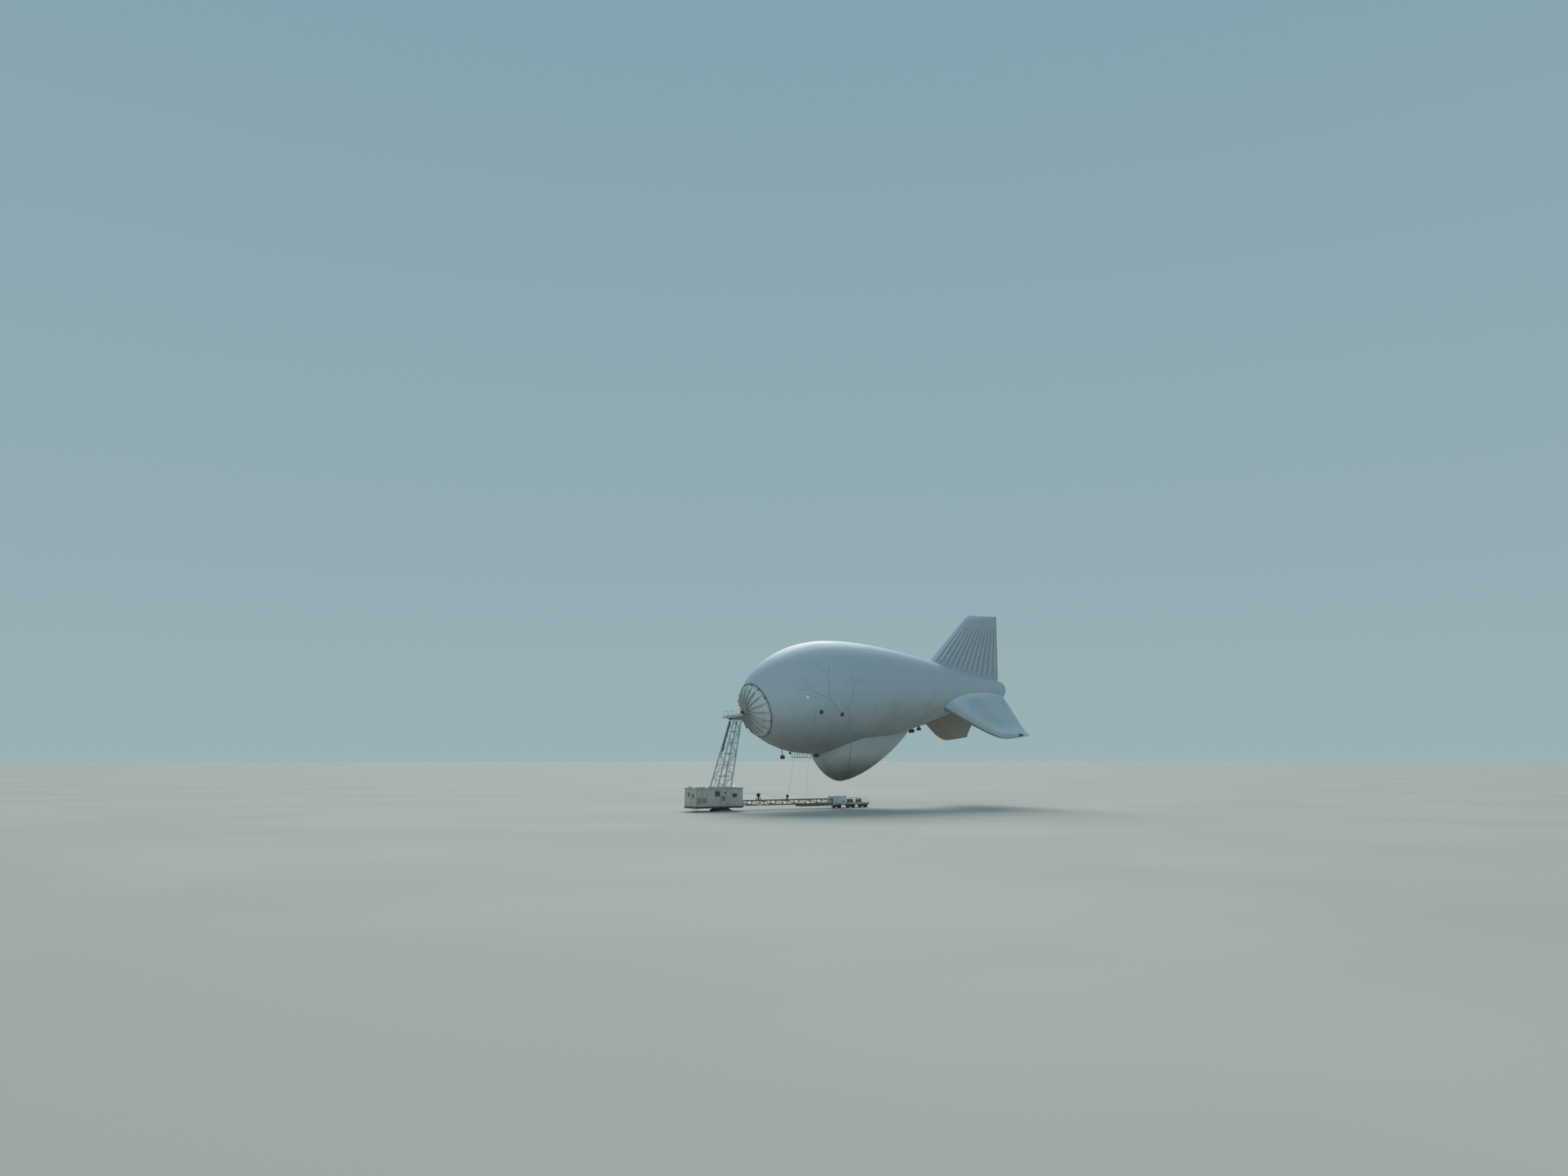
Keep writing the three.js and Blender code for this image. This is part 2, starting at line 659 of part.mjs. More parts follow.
/** The air duct along the belly, from the blowers to the fins. */
function bellyDuct() {
  const steps = 5;
  const sides = 10;
  return loft(Array.from({ length: steps }, (_, k) => {
    const s = THREE.MathUtils.lerp(ductFront, ductRear, k / (steps - 1));
    return Array.from({ length: sides }, (__, i) => {
      const turn = 2 * Math.PI * i / sides;
      return point(-s, ductRadius * Math.cos(turn), bellyAt(s) + ductRadius * Math.sin(turn));
    });
  })).subtract(hullRoom);
}

// Mast.

/** The middle of the mast at a fraction of its height, and half its width there. */
const mastAt = (f) => ({
  middle: new THREE.Vector3().lerpVectors(mastFoot, mastTop, f),
  half: THREE.MathUtils.lerp(mastFootHalf, mastTopHalf, f),
});

const mastCorners = [[1, 1], [1, -1], [-1, -1], [-1, 1]];

/** A leg's place at a fraction of the mast's height. */
function mastLegAt(f, k) {
  const { middle, half } = mastAt(f);
  const [x, y] = mastCorners[k % 4];
  return point(middle.x + x * half, middle.y + y * half, middle.z);
}

function mastFrame() {
  const members = [];
  for (let k = 0; k < 4; k += 1) {
    members.push(beam(mastLegAt(0, k), mastLegAt(1, k), mastLeg, mastLeg, point(1, 0, 0)));
    for (let bay = 0; bay <= mastBays; bay += 1) {
      const f = THREE.MathUtils.clamp(bay / mastBays, 0.006, 0.994);
      members.push(beam(mastLegAt(f, k), mastLegAt(f, k + 1), mastBrace, mastBrace));
    }
    for (let bay = 0; bay < mastBays; bay += 1) {
      const swap = (bay + k) % 2;
      const low = mastLegAt(bay / mastBays + 0.01, k + swap);
      const high = mastLegAt((bay + 1) / mastBays - 0.01, k + 1 - swap);
      members.push(beam(low, high, mastBrace * 0.8, mastBrace * 0.8));
    }
  }
  const outer = mastFootHalf + mastLeg;
  const inner = mastFootHalf - mastLeg;
  const plate = block([-outer, -outer, roofTop], [outer, outer, mastFoot.z + 10]);
  const well = block([-inner, -inner, roofTop - 30], [inner, inner, mastFoot.z + 60]);
  return join(members, plate.subtract(well));
}

/** A ladder on the mast's port side. */
function mastLadder() {
  const stand = 0.3 * metre;
  const half = 0.22 * metre;
  const rail = 0.06 * metre;
  const rungs = 12;
  const [low, high] = [0.01, 0.97];
  const at = (f, x) => {
    const { middle, half: leg } = mastAt(f);
    return point(middle.x + x, leg + stand, middle.z);
  };
  const members = [-half, half].map((x) => beam(at(low, x), at(high, x), rail, rail, point(0, 1, 0)));
  for (let i = 0; i < rungs; i += 1) {
    const f = THREE.MathUtils.lerp(low, high, (i + 0.5) / rungs);
    members.push(beam(at(f, -half), at(f, half), rail * 0.7, rail * 0.7));
  }
  [0.03, 0.5, 0.94].forEach((f) => {
    const from = at(f, half);
    members.push(beam(from, point(from.x, mastAt(f).half + 0.13 * metre, from.z), rail, rail));
  });
  return join(members);
}

/** The closed trunk that carries pipes and cables up the front of the mast. */
function mastTrunk() {
  const stand = 0.3 * metre;
  const width = 0.22 * metre;
  const at = (f, off) => {
    const { middle, half } = mastAt(f);
    return point(middle.x + half + off, 0, middle.z);
  };
  const feet = [0.58, 0.93].map((f) => beam(at(f, 0.1 * metre), at(f, stand), 60, 60));
  return join(beam(at(0.53, stand), at(0.985, stand), width, width, point(1, 0, 0)), feet);
}

/** The head's deck, grown by `extra`. */
const headDeck = (extra) => beam(headRear, headFront, headWidth + 2 * extra, headDepth + 2 * extra);

function mastHead() {
  const rail = 0.05 * metre;
  const lift = point(0, 0, 0.95 * metre);
  const half = 0.6 * metre;
  const members = [-half, half].flatMap((y) => {
    const feet = [0.04, 0.34, 0.64].map((f) => (
      new THREE.Vector3().lerpVectors(headRear, headFront, f).add(point(0, y, 0))));
    const posts = feet.map((foot) => beam(foot, foot.clone().add(lift), rail, rail, point(1, 0, 0)));
    return [...posts, beam(feet[0].clone().add(lift), feet[2].clone().add(lift), rail, rail)];
  });
  return join(headDeck(0), members);
}

/** The housing under the head that holds the latch's drive, on its base plate. */
function headMachinery() {
  const base = mastTop.z + 60;
  const [rear, front] = [-2.1 * metre, -4.0 * metre];
  const box = block([front, -0.5 * metre, base], [rear, 0.5 * metre, headFront.z]);
  const above = point(0, 0, 0.5 * metre - gap);
  const room = beam(headRear.clone().add(above), headFront.clone().add(above), 3 * metre, metre + headDepth);
  const foot = block([front + 0.15 * metre, -0.85 * metre, base], [rear, 0.85 * metre, base + 50]);
  return join(box.subtract(room), foot);
}

// Where the hub's face and its axis stand in the machine's frame.
const aerostat = new THREE.Group();
aerostat.position.copy(noseTip);
aerostat.rotation.y = tailUp;
aerostat.updateMatrixWorld();
const hubCentre = hubFace.clone().applyMatrix4(aerostat.matrixWorld);
const hubWay = capForward.clone().transformDirection(aerostat.matrixWorld);

/** The cup that holds the hub, on its yoke in front of the head's deck. */
function noseLatch() {
  const from = hubCentre.clone().addScaledVector(hubWay, 3);
  const cup = bar(from, from.clone().addScaledVector(hubWay, 0.42 * metre), 0.34 * metre, 20);
  const yokeEnd = headFront.clone().add(point(0.25 * metre, 0, 0));
  const yoke = beam(from.clone().addScaledVector(hubWay, 0.2 * metre), yokeEnd, 0.5 * metre, 0.35 * metre);
  return join(cup, yoke).subtract(headDeck(gap)).decompose()[0];
}

// Houses.

/** A hollow cabin on the deck from `rear` to `front`, cut by its openings. */
function cabin(rear, front, cuts) {
  const outer = block([rear, -houseHalf, deckTop + gap], [front, houseHalf, houseTop]);
  const inner = block([rear + wall, -houseHalf + wall, deckTop], [front - wall, houseHalf - wall, roofTop]);
  return outer.subtract(inner).subtract(join(cuts));
}

/** A cut through a side wall. */
const sideCut = ([x, z, width, height, side]) => block(
  [(x - width / 2) * metre, side * houseHalf - 2 * wall, (z - height / 2) * metre],
  [(x + width / 2) * metre, side * houseHalf + 2 * wall, (z + height / 2) * metre],
);

/** A cut through the end wall at `x`. */
const endCut = (x) => ([y, z, width, height]) => block(
  [x - 2 * wall, (y - width / 2) * metre, (z - height / 2) * metre],
  [x + 2 * wall, (y + width / 2) * metre, (z + height / 2) * metre],
);

function machineryHouse() {
  const { x, z, radius } = roundWindow;
  const round = bar(point(x, houseHalf - 2 * wall, z), point(x, houseHalf + 2 * wall, z), radius, 20);
  const door = block(
    [doorway.x - doorway.width / 2, -houseHalf - wall, doorway.z - doorway.height / 2],
    [doorway.x + doorway.width / 2, -houseHalf + 2 * wall, doorway.z + doorway.height / 2]);
  const windows = [...houseWindows.map(sideCut), ...frontWindows.map(endCut(houseFront))];
  return cabin(houseRear, houseFront, [...windows, round, door]);
}

function controlCabin() {
  return cabin(cabinRear, houseRear - 20, [...cabinWindows.map(sideCut), ...rearWindows.map(endCut(cabinRear))]);
}

const roof = (rear, front) => block(
  [rear, -houseHalf - roofEdge, houseTop + gap], [front, houseHalf + roofEdge, roofTop - gap]);

/** A shallow white dome on the cabin's roof. */
function roofDome() {
  const profile = [[0, 0], [0.5, 0], [0.5, 0.08], [0.41, 0.2], [0.25, 0.29], [0, 0.32]];
  return turned(profile.map(([r, z]) => [r * metre, z * metre]), point(domePlace, 0, roofTop), upward, 20);
}

/** A side-hung door that lies on the outside of the wall, with its handle. */
function houseDoor() {
  const half = doorway.width / 2 + doorLap;
  const y = -houseHalf - doorStand;
  const panel = block(
    [doorway.x - half, y - doorThick, doorway.z - doorway.height / 2 - 20],
    [doorway.x + half, y, doorway.z + doorway.height / 2 + doorLap]);
  const handle = block(
    [doorway.x - half + 60, y - doorThick - 25, doorway.z - 15],
    [doorway.x - half + 160, y - doorThick + 5, doorway.z + 15]);
  return join(panel, handle);
}

// Pivot and deck.

function pedestal() {
  const profile = [
    [0, 0], [1.9 * metre, 0], [1.9 * metre, 0.22 * metre], [1.6 * metre, 0.26 * metre], [1.5 * metre, pedestalTop],
    [0.4 * metre, pedestalTop], [0.4 * metre, 0.52 * metre], [0, 0.52 * metre]];
  return turned(profile, point(0, 0, 0), upward);
}

function slewingRing() {
  const [inner, outer] = [0.43 * metre, 1.5 * metre];
  const profile = [[inner, ringBottom], [outer, ringBottom], [outer, ringTop], [inner, ringTop], [inner, ringBottom]];
  return turned(profile, point(0, 0, 0), upward);
}

function deckFrame() {
  const low = ringTop + gap;
  const half = houseHalf + 0.05 * metre;
  const lines = [-half + sill / 2, -0.8 * metre, 0.8 * metre, half - sill / 2];
  const members = [
    ...lines.map((y) => block([deckRear, y - sill / 2, low], [deckFront, y + sill / 2, deckTop])),
    ...deckCrossings.map((x) => block([x - sill / 2, -half, low], [x + sill / 2, half, deckTop])),
  ];
  return join(members, block([deckRear, -half, deckTop - 20], [deckFront, half, deckTop]));
}

const mainWinch = () => block(
  [0.9 * metre, -metre, deckTop + gap], [2.2 * metre, metre, deckTop + 1.5 * metre]);

// Boom.

/** A truss along X of four chords with posts and diagonals on its sides. */
function boomTruss() {
  const [low, high] = [boomBottom + boomChord / 2, boomTop - boomChord / 2];
  const half = boomHalf - boomChord / 2;
  const at = (i) => boomEnd + boomWeb + (boomFront - boomEnd - 2 * boomWeb) * i / boomBays;
  const web = (from, to, up) => beam(from, to, boomWeb, boomWeb, up);
  const members = [];
  [-half, half].forEach((y) => {
    [low, high].forEach((z) => (
      members.push(beam(point(boomEnd, y, z), point(boomFront, y, z), boomChord, boomChord))));
    for (let i = 0; i < boomBays; i += 1) {
      const [a, b] = i % 2 ? [low, high] : [high, low];
      members.push(web(point(at(i), y, a), point(at(i + 1), y, b)));
    }
  });
  for (let i = 0; i <= boomBays; i += 1) {
    [-half, half].forEach((y) => members.push(web(point(at(i), y, low), point(at(i), y, high), point(0, 1, 0))));
    [low, high].forEach((z) => members.push(web(point(at(i), -half, z), point(at(i), half, z))));
  }
  const seat = 0.35 * metre;
  [tetherSheave, guideSheave].forEach(({ x }) => (
    members.push(block([x - seat, -half, high - boomWeb / 2], [x + seat, half, boomTop]))));
  return join(members);
}

/** A switch cabinet on the boom's port side. */
const boomCabinet = ({ x, low, high }) => block(
  [x - 0.22 * metre, boomHalf + gap, low], [x + 0.22 * metre, boomHalf + 0.32 * metre, high]);

/** The low deck at the boom's end that the winches and the wheels' trucks are fixed to. */
function boomDeck() {
  const half = boomDeckHalf;
  const [rear, front] = [boomDeckEnd, boomEnd - gap];
  const beamWidth = 0.18 * metre;
  const sides = [-half + beamWidth / 2, half - beamWidth / 2].map((y) => block(
    [rear, y - beamWidth / 2, boomDeckLow], [front, y + beamWidth / 2, boomDeckTop]));
  const crossings = [rear, ...truckPlaces.map((x) => x - beamWidth / 2), front - beamWidth].map((x) => block(
    [x, -half, boomDeckLow], [x + beamWidth, half, boomDeckTop]));
  return join(sides, crossings, block([rear, -half, boomDeckTop - 15], [front, half, boomDeckTop]));
}

function winchHousePiece() {
  const { rear, front, half, top } = winchHouse;
  const low = boomDeckTop + gap;
  const outer = block([rear, -half, low], [front, half, top]);
  const inner = block(
    [rear + winchWall, -half + winchWall, low - 1], [front - winchWall, half - winchWall, top - winchWall]);
  const door = block(
    [winchDoorway.x - winchDoorway.half, -half - winchWall, winchDoorway.low],
    [winchDoorway.x + winchDoorway.half, -half + 2 * winchWall, winchDoorway.top]);
  const vent = block(
    [winchVent.x - winchVent.half, half - 2 * winchWall, winchVent.z - winchVent.half],
    [winchVent.x + winchVent.half, half + winchWall, winchVent.z + winchVent.half]);
  return outer.subtract(inner).subtract(door).subtract(vent);
}

function winchHouseDoor() {
  const y = -winchHouse.half - doorStand;
  return block(
    [winchDoorway.x - winchDoorway.half - 20, y - doorThick, winchDoorway.low - 15],
    [winchDoorway.x + winchDoorway.half + 20, y, winchDoorway.top + 15]);
}

/** One truck across the boom's end: cheeks, a cross box and axles for a pair of twin wheels. */
function truck(x) {
  const cheek = 0.09 * metre;
  const reach = wheelWidth / 2 + 0.04 * metre;
  const high = boomDeckLow - gap;
  const side = wheelTrack + 0.14 * metre;
  const low = wheelRadius - 0.1 * metre;
  const cheeks = [-1, 1].map((end) => {
    const face = x + end * (reach + cheek / 2);
    return block([face - cheek / 2, -side, low], [face + cheek / 2, side, high]);
  });
  const box = block([x - reach - 1, -0.45 * metre, low], [x + reach + 1, 0.45 * metre, high]);
  const axles = [-wheelTrack, wheelTrack].map((y) => bar(
    point(x - reach - cheek / 2, y, wheelRadius), point(x + reach + cheek / 2, y, wheelRadius), axleRadius, 16));
  return join(cheeks, box, axles);
}

function twinWheel(x, side) {
  const half = wheelWidth / 2;
  const bore = axleRadius + axleGap;
  const shoulder = 22;
  const split = 24;
  const profile = [
    [bore, -half], [wheelRadius - shoulder, -half], [wheelRadius, -half + shoulder], [wheelRadius, -split],
    [0.6 * wheelRadius, -8], [0.6 * wheelRadius, 8], [wheelRadius, split],
    [wheelRadius, half - shoulder], [wheelRadius - shoulder, half], [bore, half], [bore, -half],
  ];
  return turned(profile, point(x, side * wheelTrack, wheelRadius), point(1, 0, 0), 22);
}

/** A haul winch's frame: two cheeks on a base, the drum's shaft and a gear case. */
function haulWinchFrame(x) {
  const cheek = 25;
  const room = drumHalf + 12;
  const base = boomDeckTop + gap;
  const foot = drumRadius;
  const cheeks = [-room - cheek, room].map((y) => block([x - foot, y, base], [x + foot, y + cheek, drumLevel + 80]));
  const plate = block([x - foot, -room - cheek, base], [x + foot, room + cheek, base + 25]);
  const shaft = bar(point(x, -room - cheek, drumLevel), point(x, room + cheek, drumLevel), 22, 14);
  const gears = block([x - 100, room + cheek, base], [x + 100, room + cheek + 0.3 * metre, drumLevel + 50]);
  return join(cheeks, plate, shaft, gears);
}

function haulWinchDrum(x) {
  const bore = 24.5;
  const flange = 15;
  const core = 0.2 * metre;
  const profile = [
    [bore, -drumHalf], [drumRadius, -drumHalf], [drumRadius, -drumHalf + flange], [core, -drumHalf + flange],
    [core, drumHalf - flange], [drumRadius, drumHalf - flange], [drumRadius, drumHalf], [bore, drumHalf],
    [bore, -drumHalf],
  ];
  return turned(profile, point(x, 0, drumLevel), point(0, 1, 0), 18);
}

const cheekInside = 36;
const cheekThick = 14;

/** A sheave's fork that turns on a round base on the boom. */
function sheaveFork({ x, level }) {
  const base = boomTop + 5;
  const outside = cheekInside + cheekThick;
  const cheeks = [-outside, cheekInside].map((y) => block(
    [x - 35, y, base + 31], [x + 35, y + cheekThick, level + 40]));
  return join(
    bar(point(x, 0, base), point(x, 0, base + 40), 0.16 * metre, 20),
    block([x - 45, -outside, base + 30], [x + 45, outside, base + 60]),
    cheeks,
    bar(point(x, -outside, level), point(x, outside, level), sheavePin, 12));
}

/** The guide sheave's stand: a table on four legs with the cheeks that hold the pin. */
function guideStand({ x, level }) {
  const table = 2.1 * metre;
  const half = 0.42 * metre;
  const leg = 40;
  const outside = cheekInside + cheekThick;
  const legs = mastCorners.map(([i, j]) => {
    const [cx, cy] = [x + i * 0.28 * metre, j * (half - leg)];
    return block([cx - leg / 2, cy - leg / 2, boomTop + gap], [cx + leg / 2, cy + leg / 2, table]);
  });
  const top = block([x - half, -half, table - 30], [x + half, half, table]);
  const cheeks = [-outside, cheekInside].map((y) => block([x - 35, y, table - 1], [x + 35, y + cheekThick, level + 40]));
  const pin = bar(point(x, -outside, level), point(x, outside, level), sheavePin, 12);
  return join(legs, top, cheeks, pin);
}

function sheave({ x, level, radius }) {
  const bore = sheavePin + 2;
  const root = radius - sheaveGroove;
  const profile = [
    [bore, -sheaveHalf], [radius, -sheaveHalf], [radius, -sheaveHalf + 6], [root, -5], [root, 5],
    [radius, sheaveHalf - 6], [radius, sheaveHalf], [bore, sheaveHalf], [bore, -sheaveHalf],
  ];
  return turned(profile, point(x, 0, level), point(0, 1, 0), 18);
}

// The whole machine.

aerostat.add(
  piece('hull_envelope', hullEnvelope(), paints.fabric()),
  piece('windscreen', windscreen(), paints.screen()),
  ...fins.map((fin) => piece(fin.name, finPiece(fin), paints.fabric())),
  piece('nose_battens', noseBattens(), paints.batten()),
  piece('nose_ring', noseRing(), paints.dark()),
  ...valves.map((valve) => piece(valve.name, valvePiece(valve), paints.dark())),
  piece('belly_unit', bellyUnit(), paints.dark()),
  piece('belly_lamp', bellyLamp(), paints.dark()),
  piece('belly_frame', bellyFrame(), paints.mast()),
  piece('screen_vent', screenVent(), paints.dark()),
  piece('blower_front', blower(blowerFront), paints.dark()),
  piece('blower_rear', blower(blowerRear), paints.dark()),
  piece('belly_duct', bellyDuct(), paints.duct()),
);

const machine = new THREE.Group();
machine.add(
  piece('pedestal', pedestal(), paints.steel()),
  piece('slewing_ring', slewingRing(), paints.steel()),
  piece('deck_frame', deckFrame(), paints.steel()),
  piece('machinery_house', machineryHouse(), paints.house()),
  piece('control_cabin', controlCabin(), paints.house()),
  piece('house_roof', roof(houseRear + 4, houseFront + roofEdge), paints.roof()),
  piece('cabin_roof', roof(cabinRear - roofEdge, houseRear - 4), paints.roof()),
  piece('roof_dome', roofDome(), paints.white()),
  piece('house_door', houseDoor(), paints.house()),
  piece('main_winch', mainWinch(), paints.steel()),
  piece('mast_frame', mastFrame(), paints.mast()),
  piece('mast_ladder', mastLadder(), paints.mast()),
  piece('mast_trunk', mastTrunk(), paints.dark()),
  piece('mast_head', mastHead(), paints.mast()),
  piece('head_machinery', headMachinery(), paints.dark()),
  piece('nose_latch', noseLatch(), paints.dark()),
  piece('boom_truss', boomTruss(), paints.steel()),
  ...cabinets.map((cabinet, i) => piece(`boom_cabinet_${i + 1}`, boomCabinet(cabinet), paints.white())),
  piece('boom_deck', boomDeck(), paints.roof()),
  piece('winch_house', winchHousePiece(), paints.white()),
  piece('winch_house_door', winchHouseDoor(), paints.white()),
  ...truckPlaces.map((x, i) => piece(`truck_${i + 1}`, truck(x), paints.steel())),
  ...truckPlaces.flatMap((x, i) => [
    piece(`wheel_${i + 1}_port`, twinWheel(x, 1), paints.tyre()),
    piece(`wheel_${i + 1}_starboard`, twinWheel(x, -1), paints.tyre()),
  ]),
  ...drumPlaces.flatMap((x, i) => [
    piece(`haul_winch_${i + 1}`, haulWinchFrame(x), paints.steel()),
    piece(`haul_drum_${i + 1}`, haulWinchDrum(x), paints.dark()),
  ]),
  piece('sheave_fork', sheaveFork(tetherSheave), paints.dark()),
  piece('tether_sheave', sheave(tetherSheave), paints.dark()),
  piece('guide_fork', guideStand(guideSheave), paints.dark()),
  piece('guide_sheave', sheave(guideSheave), paints.dark()),
  aerostat,
);

export default machine;
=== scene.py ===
"""The looks of a tethered radar aerostat on its turning mooring machine, at half its real size."""

import math
import random

import bmesh
import bpy
import numpy as np
from mathutils import Matrix, Vector


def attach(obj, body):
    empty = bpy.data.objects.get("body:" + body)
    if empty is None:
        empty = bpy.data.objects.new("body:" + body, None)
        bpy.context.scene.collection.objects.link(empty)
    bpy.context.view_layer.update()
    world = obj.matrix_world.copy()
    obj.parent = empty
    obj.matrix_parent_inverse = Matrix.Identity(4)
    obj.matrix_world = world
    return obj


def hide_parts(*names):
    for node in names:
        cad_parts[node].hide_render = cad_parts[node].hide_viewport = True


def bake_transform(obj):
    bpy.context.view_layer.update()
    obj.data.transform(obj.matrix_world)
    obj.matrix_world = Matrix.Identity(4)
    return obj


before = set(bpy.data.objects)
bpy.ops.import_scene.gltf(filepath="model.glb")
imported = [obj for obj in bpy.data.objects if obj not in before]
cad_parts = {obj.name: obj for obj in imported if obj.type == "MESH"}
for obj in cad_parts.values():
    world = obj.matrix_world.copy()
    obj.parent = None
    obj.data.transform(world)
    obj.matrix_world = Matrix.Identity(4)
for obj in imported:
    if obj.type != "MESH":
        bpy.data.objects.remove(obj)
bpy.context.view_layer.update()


# Camera: far off the port bow and 4.5 m above the ground, tilted up a little. Its place and lens were fitted to the
# hull's outline in the photograph.
UP, AHEAD, PORT = Vector((0, 0, 1)), Vector((1, 0, 0)), Vector((0, 1, 0))
PITCH = math.radians(8.29)
camera = bpy.data.objects.new("camera", bpy.data.cameras.new("camera"))
camera.data.lens = 27.03
camera.data.sensor_width = 36
camera.data.clip_end = 5000
camera.location = (52.887, 91.968, 4.5)
sight = Vector((-0.54380, -0.83922, 0)) * math.cos(PITCH) + UP * math.sin(PITCH)
camera.rotation_euler = sight.to_track_quat("-Z", "Y").to_euler()
bpy.context.scene.collection.objects.link(camera)
bpy.context.scene.camera = camera


# Lights: a pale soft sky, and two wide suns in place of large softboxes. The key stands high behind the starboard
# side and lights the hull's upper edge, and a cool fill comes from the camera's side.
class Socket:
    """An output in a shader. Sums and products of outputs add their Math nodes."""

    def __init__(self, tree, output=None):
        self.tree, self.output = tree, output

    def node(self, kind, settings=None, sockets=None, out=0):
        """Adds one node: its settings are set first, then its sockets get values or links."""
        made = self.tree.nodes.new("ShaderNode" + kind)
        for name, value in (settings or {}).items():
            if name == "stops":
                for element, (place, color) in zip(made.color_ramp.elements, value):
                    element.position, element.color = place, (*color, 1)
            else:
                setattr(made, name, value)
        self.feed(made, sockets or {})
        return Socket(self.tree, made.outputs[out])

    def feed(self, made, sockets):
        """Gives a node's sockets their values or links."""
        for name, value in sockets.items():
            socket = made.inputs[name]
            if isinstance(value, Socket):
                self.tree.links.new(value.output, socket)
            elif isinstance(value, tuple) and len(socket.default_value) == 4:
                socket.default_value = (*value, 1)
            else:
                socket.default_value = value

    def math(self, operation, *numbers, turned=False):
        """A Math node on this value and the numbers after it, or before it if `turned`."""
        values = [*numbers, self] if turned else [self, *numbers]
        return self.node("Math", {"operation": operation}, dict(enumerate(values)))

    def __add__(self, other):
        return self.math("ADD", other)

    def __sub__(self, other):
        return self.math("SUBTRACT", other)

    def __mul__(self, other):
        return self.math("MULTIPLY", other)

    def __truediv__(self, other):
        return self.math("DIVIDE", other)

    def __rsub__(self, other):
        return self.math("SUBTRACT", other, turned=True)

    def __rtruediv__(self, other):
        return self.math("DIVIDE", other, turned=True)

    __radd__, __rmul__ = __add__, __mul__

    def split(self):
        """The three numbers of a vector."""
        made = self.node("SeparateXYZ", {}, {0: self}).output.node
        return [Socket(self.tree, output) for output in made.outputs]

    def step(self, low, high):
        """Rises smoothly from 0 at `low` to 1 at `high`."""
        settings = {"interpolation_type": "SMOOTHSTEP"}
        return self.node("MapRange", settings, {"Value": self, "From Min": low, "From Max": high})

    def mix(self, first, second):
        """The first colour where this is 0, and the second where it is 1."""
        return self.node("Mix", {"data_type": "RGBA"}, {0: self, 6: first, 7: second}, out=2)

    def noise(self, scale, detail=3.0, roughness=0.5, stretch=None):
        """Noise at these coordinates, which `stretch` multiplies along each axis."""
        where = self
        if stretch:
            where = self.node("VectorMath", {"operation": "MULTIPLY"}, {0: self, 1: stretch})
        return where.node("TexNoise", {}, {"Vector": where, "Scale": scale, "Detail": detail, "Roughness": roughness})

    def line(self, width):
        """1 on the whole numbers of this value, fading to 0 at `width` from them."""
        return 1 - self.math("PINGPONG", 0.5).step(0, width)

    def bump(self, strength, distance):
        """The normal of a surface of this height."""
        return self.node("Bump", {}, {"Strength": strength, "Distance": distance, "Height": self})


world = bpy.data.worlds.new("studio")
world.use_nodes = True
bpy.context.scene.world = world
bpy.context.scene.view_settings.view_transform = "Standard"
sky = Socket(world.node_tree)
height = sky.node("TexCoord", out="Generated").split()[2] * 0.5 + 0.5
shade = height.node("ValToRGB", {"stops": [(0.50, (0.325, 0.44, 0.468)), (0.85, (0.21, 0.35, 0.43))]}, {0: height})
sky.feed(world.node_tree.nodes["Background"], {"Color": shade})
for name, energy, color, spread, comes_from in (("key", 2.4, (1.0, 0.98, 0.93), 30, (-0.50, -0.87, 0.79)),
                                                ("fill", 0.35, (0.90, 0.95, 1.0), 40, (0.95, 0.75, 0.50))):
    lamp = bpy.data.objects.new(name, bpy.data.lights.new(name, "SUN"))
    lamp.data.energy = energy
    lamp.data.color = color
    lamp.data.angle = math.radians(spread)
    lamp.rotation_euler = Vector(comes_from).to_track_quat("Z", "Y").to_euler()
    bpy.context.scene.collection.objects.link(lamp)


# Floor: a plain pale studio floor, wide enough to reach the horizon. It is stage and no part of the object.
def surface(name, paint):
    """A material. `paint` gets the object's own coordinates and returns the shader's socket values."""
    material = bpy.data.materials.new(name)
    material.use_nodes = True
    start = Socket(material.node_tree)
    start.feed(material.node_tree.nodes["Principled BSDF"], paint(start.node("TexCoord", out="Object")))
    return material


def mesh_piece(name, points, faces, material, place=None):
    """A mesh object in the model's frame, or in the frame `place`, with its faces turned outward."""
    mesh = bpy.data.meshes.new(name)
    mesh.from_pydata([tuple(p) for p in points], [], faces)
    skin = bmesh.new()
    skin.from_mesh(mesh)
    bmesh.ops.recalc_face_normals(skin, faces=skin.faces)
    skin.to_mesh(mesh)
    skin.free()
    mesh.materials.append(material)
    mesh.polygons.foreach_set("use_smooth", [True] * len(mesh.polygons))
    mesh.update()
    piece = bpy.data.objects.new(name, mesh)
    piece.matrix_world = place or Matrix()
    bpy.context.scene.collection.objects.link(piece)
    return piece


def floor_paint(at):
    patch = at.noise(0.05, 2).step(0.35, 0.65)
    return {"Base Color": patch.mix((0.42, 0.415, 0.375), (0.45, 0.445, 0.405)), "Roughness": 0.95}


FLOOR_HALF = 3000
floor_corners = [(x * FLOOR_HALF, y * FLOOR_HALF, 0) for x, y in ((-1, -1), (1, -1), (1, 1), (-1, 1))]
mesh_piece("floor", floor_corners, [(0, 1, 2, 3)], surface("floor", floor_paint))


# Pedestal: a welded steel drum that stands on the concrete pad and carries the whole machine. Anchor bolts hold
# its foot flange, and gussets stiffen its wall.
CORNERS = [(i, j, k) for i in (-1, 1) for j in (-1, 1) for k in (-1, 1)]


